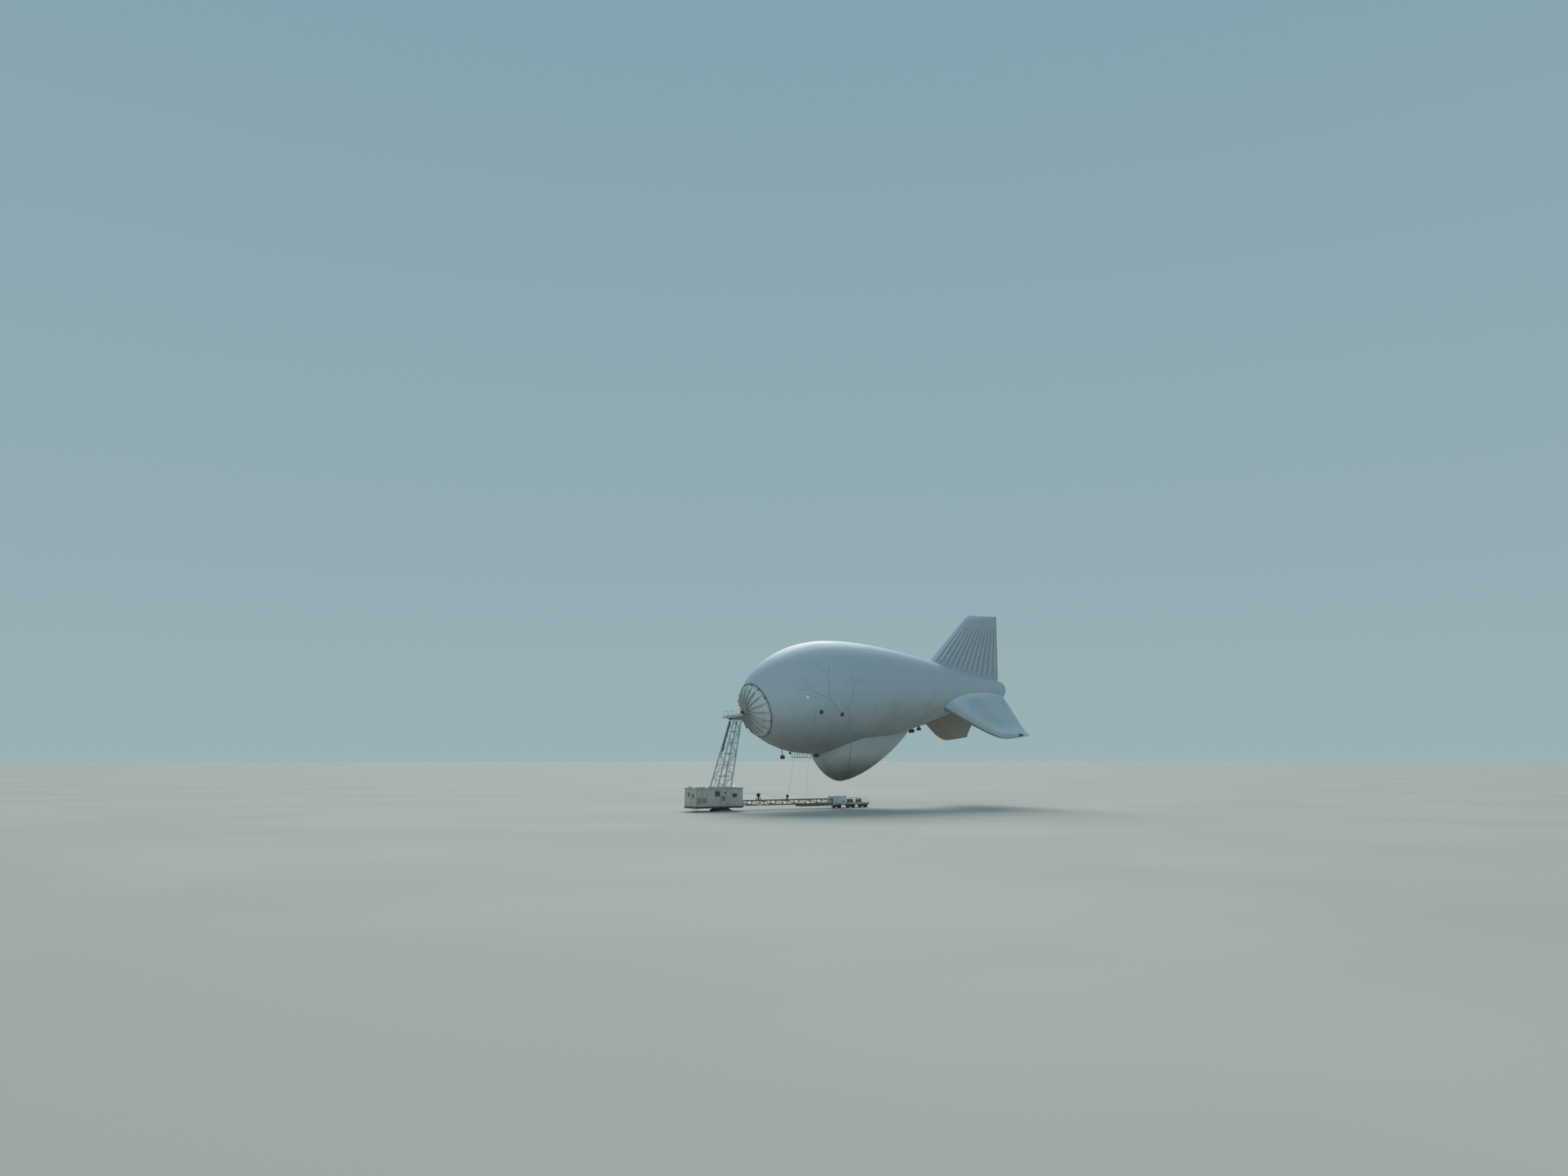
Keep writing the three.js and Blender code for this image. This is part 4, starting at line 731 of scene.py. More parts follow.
bench.block(tray, (-0.47, -0.437), (TRAY_TOP - 0.006, TRAY_TOP), 0.001)
bench.block(tray, (-0.474, -0.468), (TRAY_TOP - 0.006, TRAY_TOP + 0.034), 0.001)
for x in np.arange(BOOM_REAR + 0.3, BOOM_FRONT, 0.75):
    bench.block(about(x, 0.012), (-0.472, -0.42), (TRAY_TOP - 0.021, TRAY_TOP - 0.006), 0.001)
bench.fit("boom_gussets", boom_paint, "dark_steel")
bolts.fit("boom_bolts", bolt_steel, "dark_steel")

random.seed(11)
for k in range(CABLES):
    y, z = -0.462 + 0.009 * k, TRAY_TOP + 0.006
    bench.pipe([(x, y + random.uniform(-0.001, 0.001), z + random.uniform(-0.0008, 0.0008))
                for x in np.linspace(BOOM_REAR + 0.12, BOOM_FRONT - 0.08, 60)], CABLE_RADIUS, 8)
cable_rubber = coated("cable_rubber", (0.02, 0.02, 0.021), (0.04, 0.04, 0.04), 0.6, 0.4, 0.2, 0.3)
bench.fit("boom_cables", cable_rubber, "black_fittings")

CABINET_FACE = 0.585
CABINETS = ((-3.8, 0.42, 0.81), (-2.2, 0.42, 0.70))
white_paint = coated("white_paint", (0.56, 0.61, 0.635), (0.25, 0.20, 0.15), 0.45, 0.5, 0.35, 0.35)
dress(white_paint, "boom_cabinet_1", "boom_cabinet_2")
for x, low, high in CABINETS:
    for dx in (-0.054, 0.054):
        bench.block(about(x + dx, 0.048), (CABINET_FACE - 0.004, CABINET_FACE + 0.006), (low + 0.015, high - 0.015))
        handle = [(x + dx * 0.25, CABINET_FACE + 0.006, z) for z in about((low + high) / 2, 0.03)]
        bench.bar(*handle, 0.010, 0.012, PORT)
        for k in range(5):
            slot = [(end, CABINET_FACE + 0.007, high - 0.06 - 0.014 * k) for end in about(x + dx, 0.03)]
            bench.bar(*slot, 0.006, 0.003)
    bench.block(about(x, 0.12), (0.425, 0.605), (high, high + 0.014))
    for dx in (-0.09, 0.09):
        bench.block(about(x + dx, 0.01), (0.42, 0.44), (low - 0.03, high + 0.02), 0.002)
bench.fit("cabinet_doors", white_paint, "white_paint")


# Sheaves on the boom: cast wheels with a turned groove, that lead the tether from the winch up to the hull. The
# first stands on a table, and the second turns in a fork on a swivel.
GUIDE = Vector((-3.95, 0, 1.31))
GUIDE_RADIUS = 0.185
SWIVEL = Vector((-7.075, 0, 1.18))
SWIVEL_RADIUS = 0.14
SPOKES = 6
black_paint = coated("black_paint", (0.030, 0.031, 0.033), (0.14, 0.12, 0.10), 0.42, 0.6, 0.3, 0.35)
dress(black_paint, "sheave_fork", "guide_fork")
for name, middle, radius in (("tether_sheave", SWIVEL, SWIVEL_RADIUS), ("guide_sheave", GUIDE, GUIDE_RADIUS)):
    rim = [(radius - 0.05, -0.020), (radius - 0.004, -0.028), (radius, -0.024)]
    rim += [(radius - 0.026 * math.cos(t), 0.019 * math.sin(t)) for t in np.linspace(-math.pi / 2, math.pi / 2, 13)]
    rim += [(radius, 0.024), (radius - 0.004, 0.028), (radius - 0.05, 0.020)]
    hub = [(0.017, -0.028), (0.045, -0.028), (0.050, -0.022), (0.050, 0.022), (0.045, 0.028), (0.017, 0.028)]
    web = [(0.040, -0.007), (radius - 0.045, -0.007), (radius - 0.045, 0.007), (0.040, 0.007)]
    for profile, sides in ((rim, 48), (hub, 28), (web, 48)):
        bench.hollow(profile, middle, PORT, sides)
    for c, s in circle(SPOKES):
        way = Vector((c, 0, s))
        bench.bar(middle + way * 0.044, middle + way * (radius - 0.045), 0.022, 0.030, PORT, 0.005)
    bench.fit(name + "_wheel", black_paint, "black_fittings", name, name)
stand = Bench()
for side in (-1, 1):
    out = PORT * side
    for nuts, middle, radius in ((bench, SWIVEL, 0.022), (stand, GUIDE, 0.024)):
        nuts.turned([(radius, 0), (radius, 0.006), (0.013, 0.008), (0.013, 0.016)], middle + out * 0.05, out, 20)
    for dx in (-1, 1):
        bench.bolt(SWIVEL + out * 0.05 + AHEAD * dx * 0.025 - UP * 0.215, out, 0.008)
        stand.bolt(GUIDE + out * 0.17 + AHEAD * dx * 0.17 - UP * 0.26, UP, 0.010)
    for y, low, high in ((0.190, 0.93, 1.01), (0.1875, 1.01, 0.93)):
        stand.bar((GUIDE.x - 0.14, side * y, low), (GUIDE.x + 0.14, side * y, high), 0.008, 0.03)
for at in around((SWIVEL.x, 0, 0.935), AHEAD, PORT, 0.064, 8, 0.5):
    bench.bolt(at, UP, 0.008)
bench.fit("fork_nuts", bolt_steel, "dark_steel", "sheave_swivel")
stand.fit("stand_braces", bolt_steel, "dark_steel")


# Boom deck: a low plated platform at the boom's end that carries the winches. Its edge is painted pale, and
# toe boards, lashing eyes and a light guard rail run round it.
END_REAR, END_FRONT = -16.0, -11.9004
END_HALF = 0.6
END_TOP = 0.475
TREAD_PITCH, TREAD_FRONT = 0.075, -13.5
GUARD_FEET = (-15.85, -14.65, -13.75)
GUARD_LEVELS = (0.24, 0.45)
deck_paint = coated("deck_paint", (0.50, 0.50, 0.46), (0.16, 0.11, 0.07), 0.65, 0.8, 0.4, 0.4)
dress(deck_paint, "boom_deck")
fenders, lugs = Bench(), Bench()
for side in (-1, 1):
    y = side * END_HALF
    bench.block((END_REAR, END_FRONT), about(y, 0.006), (END_TOP - 0.004, END_TOP + 0.03), 0.002)
    feet = [Vector((x, y * 0.97, END_TOP)) for x in GUARD_FEET]
    for foot in feet:
        bench.rod(foot, foot + UP * 0.46, 0.012, 10)
    for level in GUARD_LEVELS:
        bench.pipe([foot + UP * level for foot in feet], 0.011, 10)
    for x in (-13.6, -12.2):
        bench.pipe(around((x, side * 0.5, END_TOP + 0.022), AHEAD, UP, 0.022, 14), 0.006, 8, closed=True)
    fenders.block((END_REAR + 0.02, END_FRONT - 0.02), (y - side * 0.004, y + side * 0.014),
                  (END_TOP - 0.185, END_TOP - 0.105))
    for x in np.arange(END_REAR + 0.12, END_FRONT, 0.32):
        fenders.bolt((x, y + side * 0.014, END_TOP - 0.145), (0, side, 0), 0.012)
    y += side * 0.004
    for x in np.arange(END_REAR + 0.35, END_FRONT - 0.2, 0.68):
        lugs.block(about(x, 0.006), about(y, 0.008), (END_TOP - 0.10, END_TOP - 0.01), 0.002)
        lugs.bar((x + 0.17, y, END_TOP - 0.05), (x + 0.17, y + side * 0.03, END_TOP - 0.05), 0.04, 0.012, UP, 0.003)
bench.fit("boom_deck_rails", rail_paint, "roof_paint")
fenders.fit("boom_deck_fenders", dark_steel, "dark_steel")
lugs.fit("boom_deck_lugs", deck_paint, "roof_paint")
for x in np.arange(END_REAR + 0.05, TREAD_FRONT, TREAD_PITCH):
    for k in range(14):
        at = Vector((x, -0.52 + k * 0.08, END_TOP + 0.001))
        reach = Vector((0.014, 0.014 if (k + int(round(x / TREAD_PITCH))) % 2 else -0.014, 0))
        bench.bar(at - reach, at + reach, 0.007, 0.005, UP, 0.001)
bench.fit("boom_deck_tread", deck_paint, "roof_paint")


# Boom skirts and steps: deep pressed plates hang from the lower chords over the rear bays, stiffened by ribs. Pale
# grated steps are bolted to them low on both sides, for climbing to the deck.
SKIRT_FRONT, SKIRT_REAR = -8.25, BOOM_REAR + 0.02
SKIRT_LOW = 0.225
STEP_FRONT = -10.85
STEP_TOP = 0.285
steps = Bench()
for side in (-1, 1):
    bench.block((SKIRT_REAR, SKIRT_FRONT), (side * 0.413, side * 0.421), (SKIRT_LOW, 0.402), 0.002)
    bench.block((SKIRT_REAR + 0.002, SKIRT_FRONT - 0.002), (side * 0.405, side * 0.446),
                (SKIRT_LOW - 0.006, SKIRT_LOW + 0.003), 0.002)
    for x in np.arange(SKIRT_REAR + 0.05, SKIRT_FRONT, 0.4):
        bench.block(about(x, 0.005), (side * 0.418, side * 0.441), (SKIRT_LOW, 0.395), 0.002)
        if x + 0.36 < SKIRT_FRONT:
            bench.block((x + 0.05, x + 0.35), (side * 0.418, side * 0.425), (0.26, 0.345))
        for dx in (-0.03, 0.03):
            bench.bolt((x + dx, side * 0.421, 0.378), (0, side, 0), 0.009)
    steps.block((SKIRT_REAR, STEP_FRONT), (side * 0.594, side * 0.600), (STEP_TOP - 0.045, STEP_TOP + 0.006), 0.002)
    steps.block((SKIRT_REAR, STEP_FRONT), (side * 0.450, side * 0.456), (STEP_TOP - 0.030, STEP_TOP), 0.002)
    for x in np.arange(SKIRT_REAR + 0.012, STEP_FRONT, 0.024):
        steps.block(about(x, 0.002), (side * 0.454, side * 0.596), (STEP_TOP - 0.016, STEP_TOP - 0.001), 0.0005)
    for x in (SKIRT_REAR + 0.1, (SKIRT_REAR + STEP_FRONT) / 2, STEP_FRONT - 0.1):
        steps.bar((x, side * 0.422, STEP_TOP - 0.024), (x, side * 0.597, STEP_TOP - 0.024), 0.03, 0.012, UP, 0.002)
        steps.block(about(x, 0.03), (side * 0.420, side * 0.428), about(STEP_TOP, 0.05), 0.003)
        steps.bolt((x, side * 0.428, STEP_TOP + 0.03), (0, side, 0), 0.009)
bench.fit("boom_skirts", boom_paint, "dark_steel")
steps.fit("boom_side_steps", deck_paint, "roof_paint")


# Winch house: a small white steel shelter on the boom's deck, with pressed ribs, a lipped roof, a side door on
# hinges and a grille over its vent.
SHELTER_REAR, SHELTER_FRONT = -13.45, -11.975
SHELTER_HALF = 0.4
SHELTER_TOP = 1.1
RIB = (0.52, 1.04)
RIB_PLACES = (-12.02, -12.26, -12.50, -12.74)
REAR_RIB = (-13.40,)
VENT = about(-13.125, 0.075)
SHELTER_DOOR = -0.4405
PIN_X = -12.90
LATCH_LEVEL = 0.765
dress(white_paint, "winch_house", "winch_house_door")
for side in (-1, 1):
    y = side * (SHELTER_HALF + 0.003)
    for x in RIB_PLACES + REAR_RIB * (side > 0):
        bench.block(about(x, 0.02), (y - 0.005, y + 0.007), RIB)
    y = side * SHELTER_HALF
    bench.block((SHELTER_REAR - 0.03, SHELTER_FRONT + 0.03), about(y, 0.03),
                (SHELTER_TOP - 0.01, SHELTER_TOP + 0.025), 0.006)
    for x in (SHELTER_REAR, SHELTER_FRONT):
        bench.block(about(x, 0.02), about(y, 0.02), (0.48, SHELTER_TOP + 0.003), 0.006)
bench.block((SHELTER_REAR - 0.027, SHELTER_FRONT + 0.027), about(0, SHELTER_HALF),
            (SHELTER_TOP - 0.004, SHELTER_TOP + 0.018), 0.006)
for x in (SHELTER_REAR, SHELTER_FRONT):
    for y in (-0.2, 0.0, 0.2):
        bench.block(about(x, 0.007), about(y, 0.02), RIB)
for a in (0, 1):
    bench.block(about(VENT[a], 0.01), (0.396, 0.412), (0.52, 0.68), 0.003)
    bench.block(VENT, (0.397, 0.410), about((0.525, 0.675)[a], 0.01), 0.003)
bench.fit("winch_house_ribs", white_paint, "white_paint")
for k in range(7):
    bench.bar((-13.19, 0.403, 0.54 + 0.02 * k), (-13.06, 0.403, 0.54 + 0.02 * k), 0.016, 0.003, Vector((0, 0.6, 0.8)))
bench.block(VENT, (0.372, 0.378), (0.53, 0.67), 0.001)
bench.fit("winch_house_grille", black_paint, "black_fittings")
for z in ((0.56, 0.74), (0.79, 0.97)):
    bench.block((-13.24, -12.96), (SHELTER_DOOR - 0.005, SHELTER_DOOR + 0.002), z)
for z in (0.60, 0.93):
    bench.rod((PIN_X, SHELTER_DOOR + 0.030, z - 0.03), (PIN_X, SHELTER_DOOR + 0.030, z + 0.03), 0.0085, 12, 0.002)
    bench.block((PIN_X - 0.013, PIN_X - 0.0045), (SHELTER_DOOR - 0.006, SHELTER_DOOR + 0.030), about(z, 0.016), 0.002)
    bench.block((PIN_X - 0.08, PIN_X - 0.005), (SHELTER_DOOR - 0.007, SHELTER_DOOR + 0.002), about(z, 0.018), 0.002)
bench.bar((-13.25, SHELTER_DOOR - 0.022, LATCH_LEVEL), (-13.16, SHELTER_DOOR - 0.022, LATCH_LEVEL), 0.012, 0.014)
bench.turned([(0.016, 0), (0.016, 0.006), (0.008, 0.008), (0.008, 0.024)],
             (-13.24, SHELTER_DOOR, LATCH_LEVEL), -PORT, 16)
bench.fit("winch_house_door_fittings", white_paint, "white_paint", "winch_house_door")


# Trucks and wheels: the boom's end rolls on twin solid-tyred wheels in welded trucks. Their axles lie along the
# boom and point at the pivot, so the wheels roll sideways as the machine turns.
WHEEL_RADIUS = 0.13
WHEEL_Y = 0.425
TWIN_HALF = 0.079
AXLE_BOLTS = 0.245
TRUCKS = (-12.6, -14.2, -15.65)
TRUCK_HALF = 0.217


def rubber_paint(at):
    scuff = at.noise(26.0, 5, 0.65).step(0.42, 0.75)
    return {
        "Base Color": (scuff * 0.8).mix((0.018, 0.018, 0.018), (0.10, 0.09, 0.075)),
        "Roughness": 0.78 + scuff * 0.15,
        "Normal": at.noise(120.0, 3).bump(0.25, 0.002),
    }


def both_ways(half_profile, middle):
    """A profile and its mirror image, closed round `middle`."""
    return [(r, middle - z) for r, z in half_profile] + [(r, middle + z) for r, z in reversed(half_profile)]


TYRE = [(0.086, 0.066), (0.112, 0.071), (0.124, 0.062), (0.129, 0.046), (0.130, 0.040), (0.130, 0.034), (0.124, 0.032),
        (0.124, 0.028), (0.130, 0.026), (0.130, 0.020), (0.130, 0.010), (0.130, 0.004), (0.124, 0.002)]
RIM = [(0.028, 0.045), (0.050, 0.045), (0.058, 0.030), (0.076, 0.030), (0.084, 0.067), (0.089, 0.067)]
tyre_rubber = surface("tyre_rubber", rubber_paint)
tyres, rims = Bench(), Bench()
for i, x in enumerate(TRUCKS, 1):
    dress(dark_steel, f"truck_{i}")
    for end in (-1, 1):
        face, out = x + end * TRUCK_HALF, AHEAD * end
        for y in (-WHEEL_Y, WHEEL_Y):
            hub = Vector((face, y, WHEEL_RADIUS))
            bench.turned([(0.04, -0.002), (0.04, 0.008), (0.028, 0.014)], hub, out, 24)
            for at in around(hub + out * 0.001, PORT, UP, 0.055, 6):
                bench.bolt(at, out, 0.006)
        for y in (-0.36, -0.18, 0.0, 0.18, 0.36):
            bench.bolt((face, y, AXLE_BOLTS), out, 0.008)
    bench.fit(f"truck_{i}_caps", bolt_steel, "dark_steel")
    for side, word in ((1, "port"), (-1, "starboard")):
        wheel = f"wheel_{i}_{word}"
        hub = Vector((x, side * WHEEL_Y, WHEEL_RADIUS))
        for half in (-1, 1):
            tyres.hollow(both_ways(TYRE, half * TWIN_HALF), hub, AHEAD, 44)
            rims.hollow(both_ways(RIM, half * TWIN_HALF), hub, AHEAD, 36)
            for at in around(hub + AHEAD * half * (TWIN_HALF + 0.030), PORT, UP, 0.067, 5):
                rims.bolt(at, AHEAD * half, 0.006)
        rims.hollow([(0.027, -0.036), (0.045, -0.036), (0.045, 0.036), (0.027, 0.036)], hub, AHEAD, 24)
        tyres.fit(wheel + "_tyres", tyre_rubber, "tyre_rubber", wheel, wheel)
        rims.fit(wheel + "_rims", rail_paint, "dark_steel", wheel)


# Haul winches: two drums of wire rope that draw the aerostat's side lines down. Each runs in cheeks on a base,
# with a gear case and its motor on the port side.
DRUMS = (-14.15, -15.15)
DRUM_LEVEL = 0.685
DRUM = [(0.026, 0.21), (0.15, 0.21), (0.15, 0.196), (0.102, 0.194)]
HAUL_TURNS = 30
HAUL_HALF = 0.193
HAUL_PITCH = 2 * HAUL_HALF / HAUL_TURNS
wire_rope = coated("wire_rope", (0.20, 0.20, 0.19), (0.12, 0.09, 0.06), 0.5, 0.5, 0.3, 0.2, 0.5)
for i, x in enumerate(DRUMS, 1):
    dress(dark_steel, f"haul_winch_{i}")
    drum, axle = f"haul_drum_{i}", Vector((x, 0, DRUM_LEVEL))
    bench.hollow(both_ways(DRUM, 0), axle, PORT, 40)
    for side in (-1, 1):
        for at in around(axle + PORT * side * 0.2095, AHEAD, UP, 0.125, 8):
            bench.turned([(0.008, 0), (0.008, 0.0015)], at, PORT * side, 10)
    bench.fit(drum + "_flanges", black_paint, "black_fittings", drum, drum)
    wound = wound_rope(0.118, 0.006, HAUL_TURNS, HAUL_PITCH, -HAUL_HALF, (0.0, 0.3, 0.5, 0.7))
    ends = [(0.101, -HAUL_HALF)], [(0.118, HAUL_HALF), (0.101, HAUL_HALF)]
    bench.turned(ends[0] + wound + ends[1], axle, PORT, 36, shut=False)
    bench.fit(drum + "_rope", wire_rope, "dark_steel", drum, sharp=80)
    for side in (-1, 1):
        out = PORT * side
        bench.turned([(0.05, 0), (0.05, 0.008), (0.03, 0.016)], axle + out * 0.247, out, 24)
        for dx in (-0.12, -0.06, 0.06, 0.12):
            bench.bolt((x + dx, side * 0.227, 0.50), UP, 0.009)
    fins = [(0.052 + 0.007 * (k % 2), 0.02 + 0.008 * k) for k in range(12)]
    bench.turned([(0.062, 0), (0.062, 0.010), (0.052, 0.014)] + fins + [(0.05, 0.12), (0.03, 0.13)],
                 (x + 0.02, 0.38, 0.74), PORT, 28)
    for z in (0.50, 0.72):
        bench.block(about(x, 0.104), (0.25, 0.402), (z, z + 0.012), 0.003)
    bench.fit(f"haul_winch_{i}_gear", boom_paint, "dark_steel")


# Mast: four leaning angle-steel legs with lattice bracing, galvanised and weathered pale. Gusset plates and bolts
# join the members, and the foot is bolted through the roof to the deck.
MAST_FOOT, MAST_TOP = Vector((0, 0, 2.06)), Vector((-1.485, 0, 7.975))
MAST_FOOT_HALF, MAST_TOP_HALF = 0.675, 0.375
MAST_BAYS = 6
LEG = 0.11
FOOT_BOLTS = (-0.745, -0.40, 0.40, 0.745)
mast_paint = coated("mast_paint", (0.47, 0.51, 0.52), (0.30, 0.22, 0.16), 0.5, 0.35, 0.25, 0.2)
dress(mast_paint, "mast_frame", "mast_head")


def on_mast(f, i=0, j=0, x=0.0, y=0.0):
    """A point at a fraction of the mast's height, from its middle (0) to its sides (1 or -1), moved by x and y."""
    half = MAST_FOOT_HALF + (MAST_TOP_HALF - MAST_FOOT_HALF) * f
    return MAST_FOOT.lerp(MAST_TOP, f) + Vector((i * half + x, j * half + y, 0))


for i, j in ((1, 1), (1, -1), (-1, -1), (-1, 1)):
    along = (on_mast(1, i, j) - on_mast(0, i, j)).normalized()
    for bay in range(MAST_BAYS + 1):
        middle = on_mast(min(max(bay / MAST_BAYS, 0.012), 0.988), i, j)
        for out, way in ((PORT * j, AHEAD * -i), (AHEAD * i, PORT * -j)):
            face = middle + out * (LEG / 2 + 0.004)
            low, high = (face + along * a + way * 0.06 for a in (-0.10, 0.10))
            if 2.13 < low.z and high.z < 7.95:
                bench.bar(low, high, 0.19, 0.008, out)
                for a in (-0.07, 0.0, 0.07):
                    for b in (-0.01, 0.12):
                        bolts.bolt(face + along * a + way * b + out * 0.004, out, 0.009)
for x in FOOT_BOLTS:
    for y in FOOT_BOLTS:
        if max(abs(x), abs(y)) > 0.5:
            bolts.bolt((x, y, 2.07), UP, 0.020)
bench.fit("mast_gussets", mast_paint, "mast_paint")
bolts.fit("mast_bolts", bolt_steel, "mast_paint")


# Mast ladder: round rungs welded between flat stringers on stand-offs, galvanised like the mast. Safety hoops with
# three straps stand round it above a crew member's height.
LADDER_STAND = 0.15
LADDER_HALF = 0.11
RUNGS = 38
HOOP_HALF, HOOP_DEPTH = 0.17, 0.30


def hoop_at(f, turn):
    return on_mast(f, 0, 1, HOOP_HALF * math.cos(turn), LADDER_STAND + 0.02 + HOOP_DEPTH * math.sin(turn))


def stringer_at(f, side):
    return on_mast(f, 0, 1, side * LADDER_HALF, LADDER_STAND)


hoops = np.linspace(0.36, 0.94, 9)
for side in (-1, 1):
    bench.bar(stringer_at(0.01, side), stringer_at(0.97, side), 0.012, 0.045, PORT)
    for f in (0.03, 0.27, 0.5, 0.73, 0.94):
        bench.bar(stringer_at(f, side), on_mast(f, 0, 1, side * LADDER_HALF, 0.02), 0.02, 0.03)
for f in np.linspace(0.025, 0.955, RUNGS):
    bench.rod(stringer_at(f, -1), stringer_at(f, 1), 0.010, 10)
for f in hoops:
    hoop = [hoop_at(f, turn) for turn in np.linspace(0, math.pi, 15)]
    bench.pipe([stringer_at(f, 1)] + hoop + [stringer_at(f, -1)], 0.008, 8)
for part in (0.25, 0.5, 0.75):
    bench.pipe([hoop_at(f, math.pi * part) for f in hoops], 0.006, 8)
bench.fit("ladder_and_hoops", mast_paint, "mast_paint", stands_for="mast_ladder")


# Trunk: a closed duct for hoses and cables on the mast's front, with its clamps and flange joints. Conduits lead
# down from it inside the mast.
TRUNK_STAND = 0.15
TRUNK_JOINTS = (0.54, 0.62, 0.70, 0.78, 0.86, 0.94, 0.975)
BAND_WIDTH = 0.145
trunk_paint = coated("trunk_paint", (0.085, 0.095, 0.090), (0.14, 0.12, 0.10), 0.5, 0.5, 0.3, 0.1)
dress(trunk_paint, "mast_trunk")
along = (on_mast(1, 1) - on_mast(0, 1)).normalized() * 0.012
for f in TRUNK_JOINTS:
    middle = on_mast(f, 1, x=TRUNK_STAND)
    bench.bar(middle - along, middle + along, BAND_WIDTH, BAND_WIDTH, AHEAD, 0.004)
bench.fit("trunk_bands", trunk_paint, "black_fittings")
for y in (-0.03, 0.0, 0.03):
    bends = ((0.535, 0), (0.50, 0.02), (0.46, 0.09), (0.42, 0.14), (0.2, 0.14), (0.02, 0.14))
    bench.pipe([on_mast(f, 1, x=TRUNK_STAND - inward, y=y) for f, inward in bends], 0.012, 10)
bench.fit("trunk_conduits", mast_paint, "mast_paint")


# Mast head: a railed deck with the latch's drive under it. A ram moves the latch cup, which holds the hub of the
# nose cap.
HEAD_REAR, HEAD_FRONT = Vector((-0.325, 0, 8.25)), Vector((-2.05, 0, 8.51))
HEAD_HALF = 0.33
GRATING_BARS = 44
head_along = (HEAD_FRONT - HEAD_REAR).normalized()
head_up = Vector((head_along.z, 0, -head_along.x))
drive_paint = coated("drive_paint", (0.27, 0.285, 0.285), (0.14, 0.12, 0.10), 0.5, 0.6, 0.4, 0.1)
dress(drive_paint, "head_machinery")
dress(black_paint, "nose_latch")
for f in np.linspace(0.03, 0.97, GRATING_BARS):
    at = HEAD_REAR.lerp(HEAD_FRONT, f) + head_up * 0.109
    bench.bar(at - PORT * 0.31, at + PORT * 0.31, 0.008, 0.012, head_up)
for side in (-1, 1):
    edge = PORT * side * HEAD_HALF
    for level in (-0.085, 0.094):
        bench.bar(HEAD_REAR + edge + head_up * level, HEAD_FRONT + edge + head_up * level, 0.03, 0.03, head_up)
    for f in np.linspace(0.05, 0.95, 8):
        at = HEAD_REAR.lerp(HEAD_FRONT, f) + edge
        bench.bar(at - head_up * 0.09, at + head_up * 0.09, 0.026, 0.016, head_along)
    bench.pipe([HEAD_REAR.lerp(HEAD_FRONT, f) + Vector((0, side * 0.30, 0.26)) for f in (0.04, 0.34, 0.64)], 0.009, 8)
bench.fit("head_grating", mast_paint, "mast_paint")
for side in (-1, 1):
    for x in (-1.12, -1.36, -1.60, -1.84):
        bench.block(about(x, 0.012), (side * 0.244, side * 0.266), (8.04, 8.24), 0.003)
    for x in (-1.15, -1.5, -1.85):
        bench.bolt((x, side * 0.34, 8.055), UP, 0.014)
    foot, tip = Vector((-1.02, side * 0.16, 8.10)), Vector((-0.62, side * 0.10, 8.18))
    bench.rod(foot, foot.lerp(tip, 0.62), 0.034, 18, 0.004)
    bench.rod(foot.lerp(tip, 0.6), tip, 0.018, 14)
bench.fit("latch_drive", black_paint, "black_fittings")


# Hull: a gas-tight envelope of coated laminate, cut in long gores that are heat-sealed under tapes and swell
# a little between them. White when new, it has greyed in clouds and rain streaks. Its colour darkens towards the
# belly, most of all on the slim tail: painted shade for the weak light from the ground, with a little dust in it.
M = 0.5  # a real metre at the model's scale
HULL_LENGTH = 63.5 * M
HULL_RADIUS = 10.59 * M
NOSE_LENGTH = 16.85 * M
TAIL_RADIUS = 1.9 * M
TAIL_FULLNESS = 2.5
STERN_POWER, STERN_FULLNESS = 1.676, 1.51
HULL_RISE = 0.76 * M
GORES = 28
GORE_STEPS = 6
GORE_SWELL = 0.009
BAND_PITCH = 4.45
NOSE_TIP = (-2.5, 0, 9.46)
TAIL_UP = math.radians(4.15)
AEROSTAT = Matrix.Translation(NOSE_TIP) @ Matrix.Rotation(TAIL_UP, 4, "Y")
FABRIC_CLEAN = (0.45, 0.52, 0.57)
# The dark olive cloth colour below serves both real dust and the painted shade under the belly.
FABRIC_DUST_AND_BELLY_SHADE = (0.235, 0.255, 0.24)
FABRIC_TAPE = (0.36, 0.39, 0.40)


def radius_at(s):
    """The hull's radius at s metres aft of the tip of its nose."""
    if s <= 0 or s >= HULL_LENGTH:
        return 0.0
    if s < NOSE_LENGTH:
        return HULL_RADIUS * math.sqrt(1 - ((NOSE_LENGTH - s) / NOSE_LENGTH) ** 2)
    u = (s - NOSE_LENGTH) / (HULL_LENGTH - NOSE_LENGTH)
    taper = TAIL_RADIUS + (HULL_RADIUS - TAIL_RADIUS) * (1 - u ** STERN_POWER) ** STERN_FULLNESS
    left = HULL_LENGTH - s
    if left < TAIL_RADIUS:
        taper *= (1 - ((TAIL_RADIUS - left) / TAIL_RADIUS) ** TAIL_FULLNESS) ** (1 / TAIL_FULLNESS)
    return taper


def rise_at(s):
    """How far the hull's centre line stands above its straight axis."""
    return 4 * HULL_RISE * (s / HULL_LENGTH) * (1 - s / HULL_LENGTH)


def belly_at(s):
    return rise_at(s) - radius_at(s)


def on_hull(s, degrees, out=0.0):
    """A point on the hull, or `out` above it, at an angle above the port horizontal."""
    turn = math.radians(degrees)
    r = radius_at(s) + out
    return Vector((-s, r * math.cos(turn), rise_at(s) + r * math.sin(turn)))


def hull_out(s, degrees):
    """The way out of the hull at a point of it."""
    turn = math.radians(degrees)
    step = 0.01
    slope = (radius_at(s + step) - radius_at(s - step)) / (2 * step)
    return Vector((slope, math.cos(turn), math.sin(turn))).normalized()


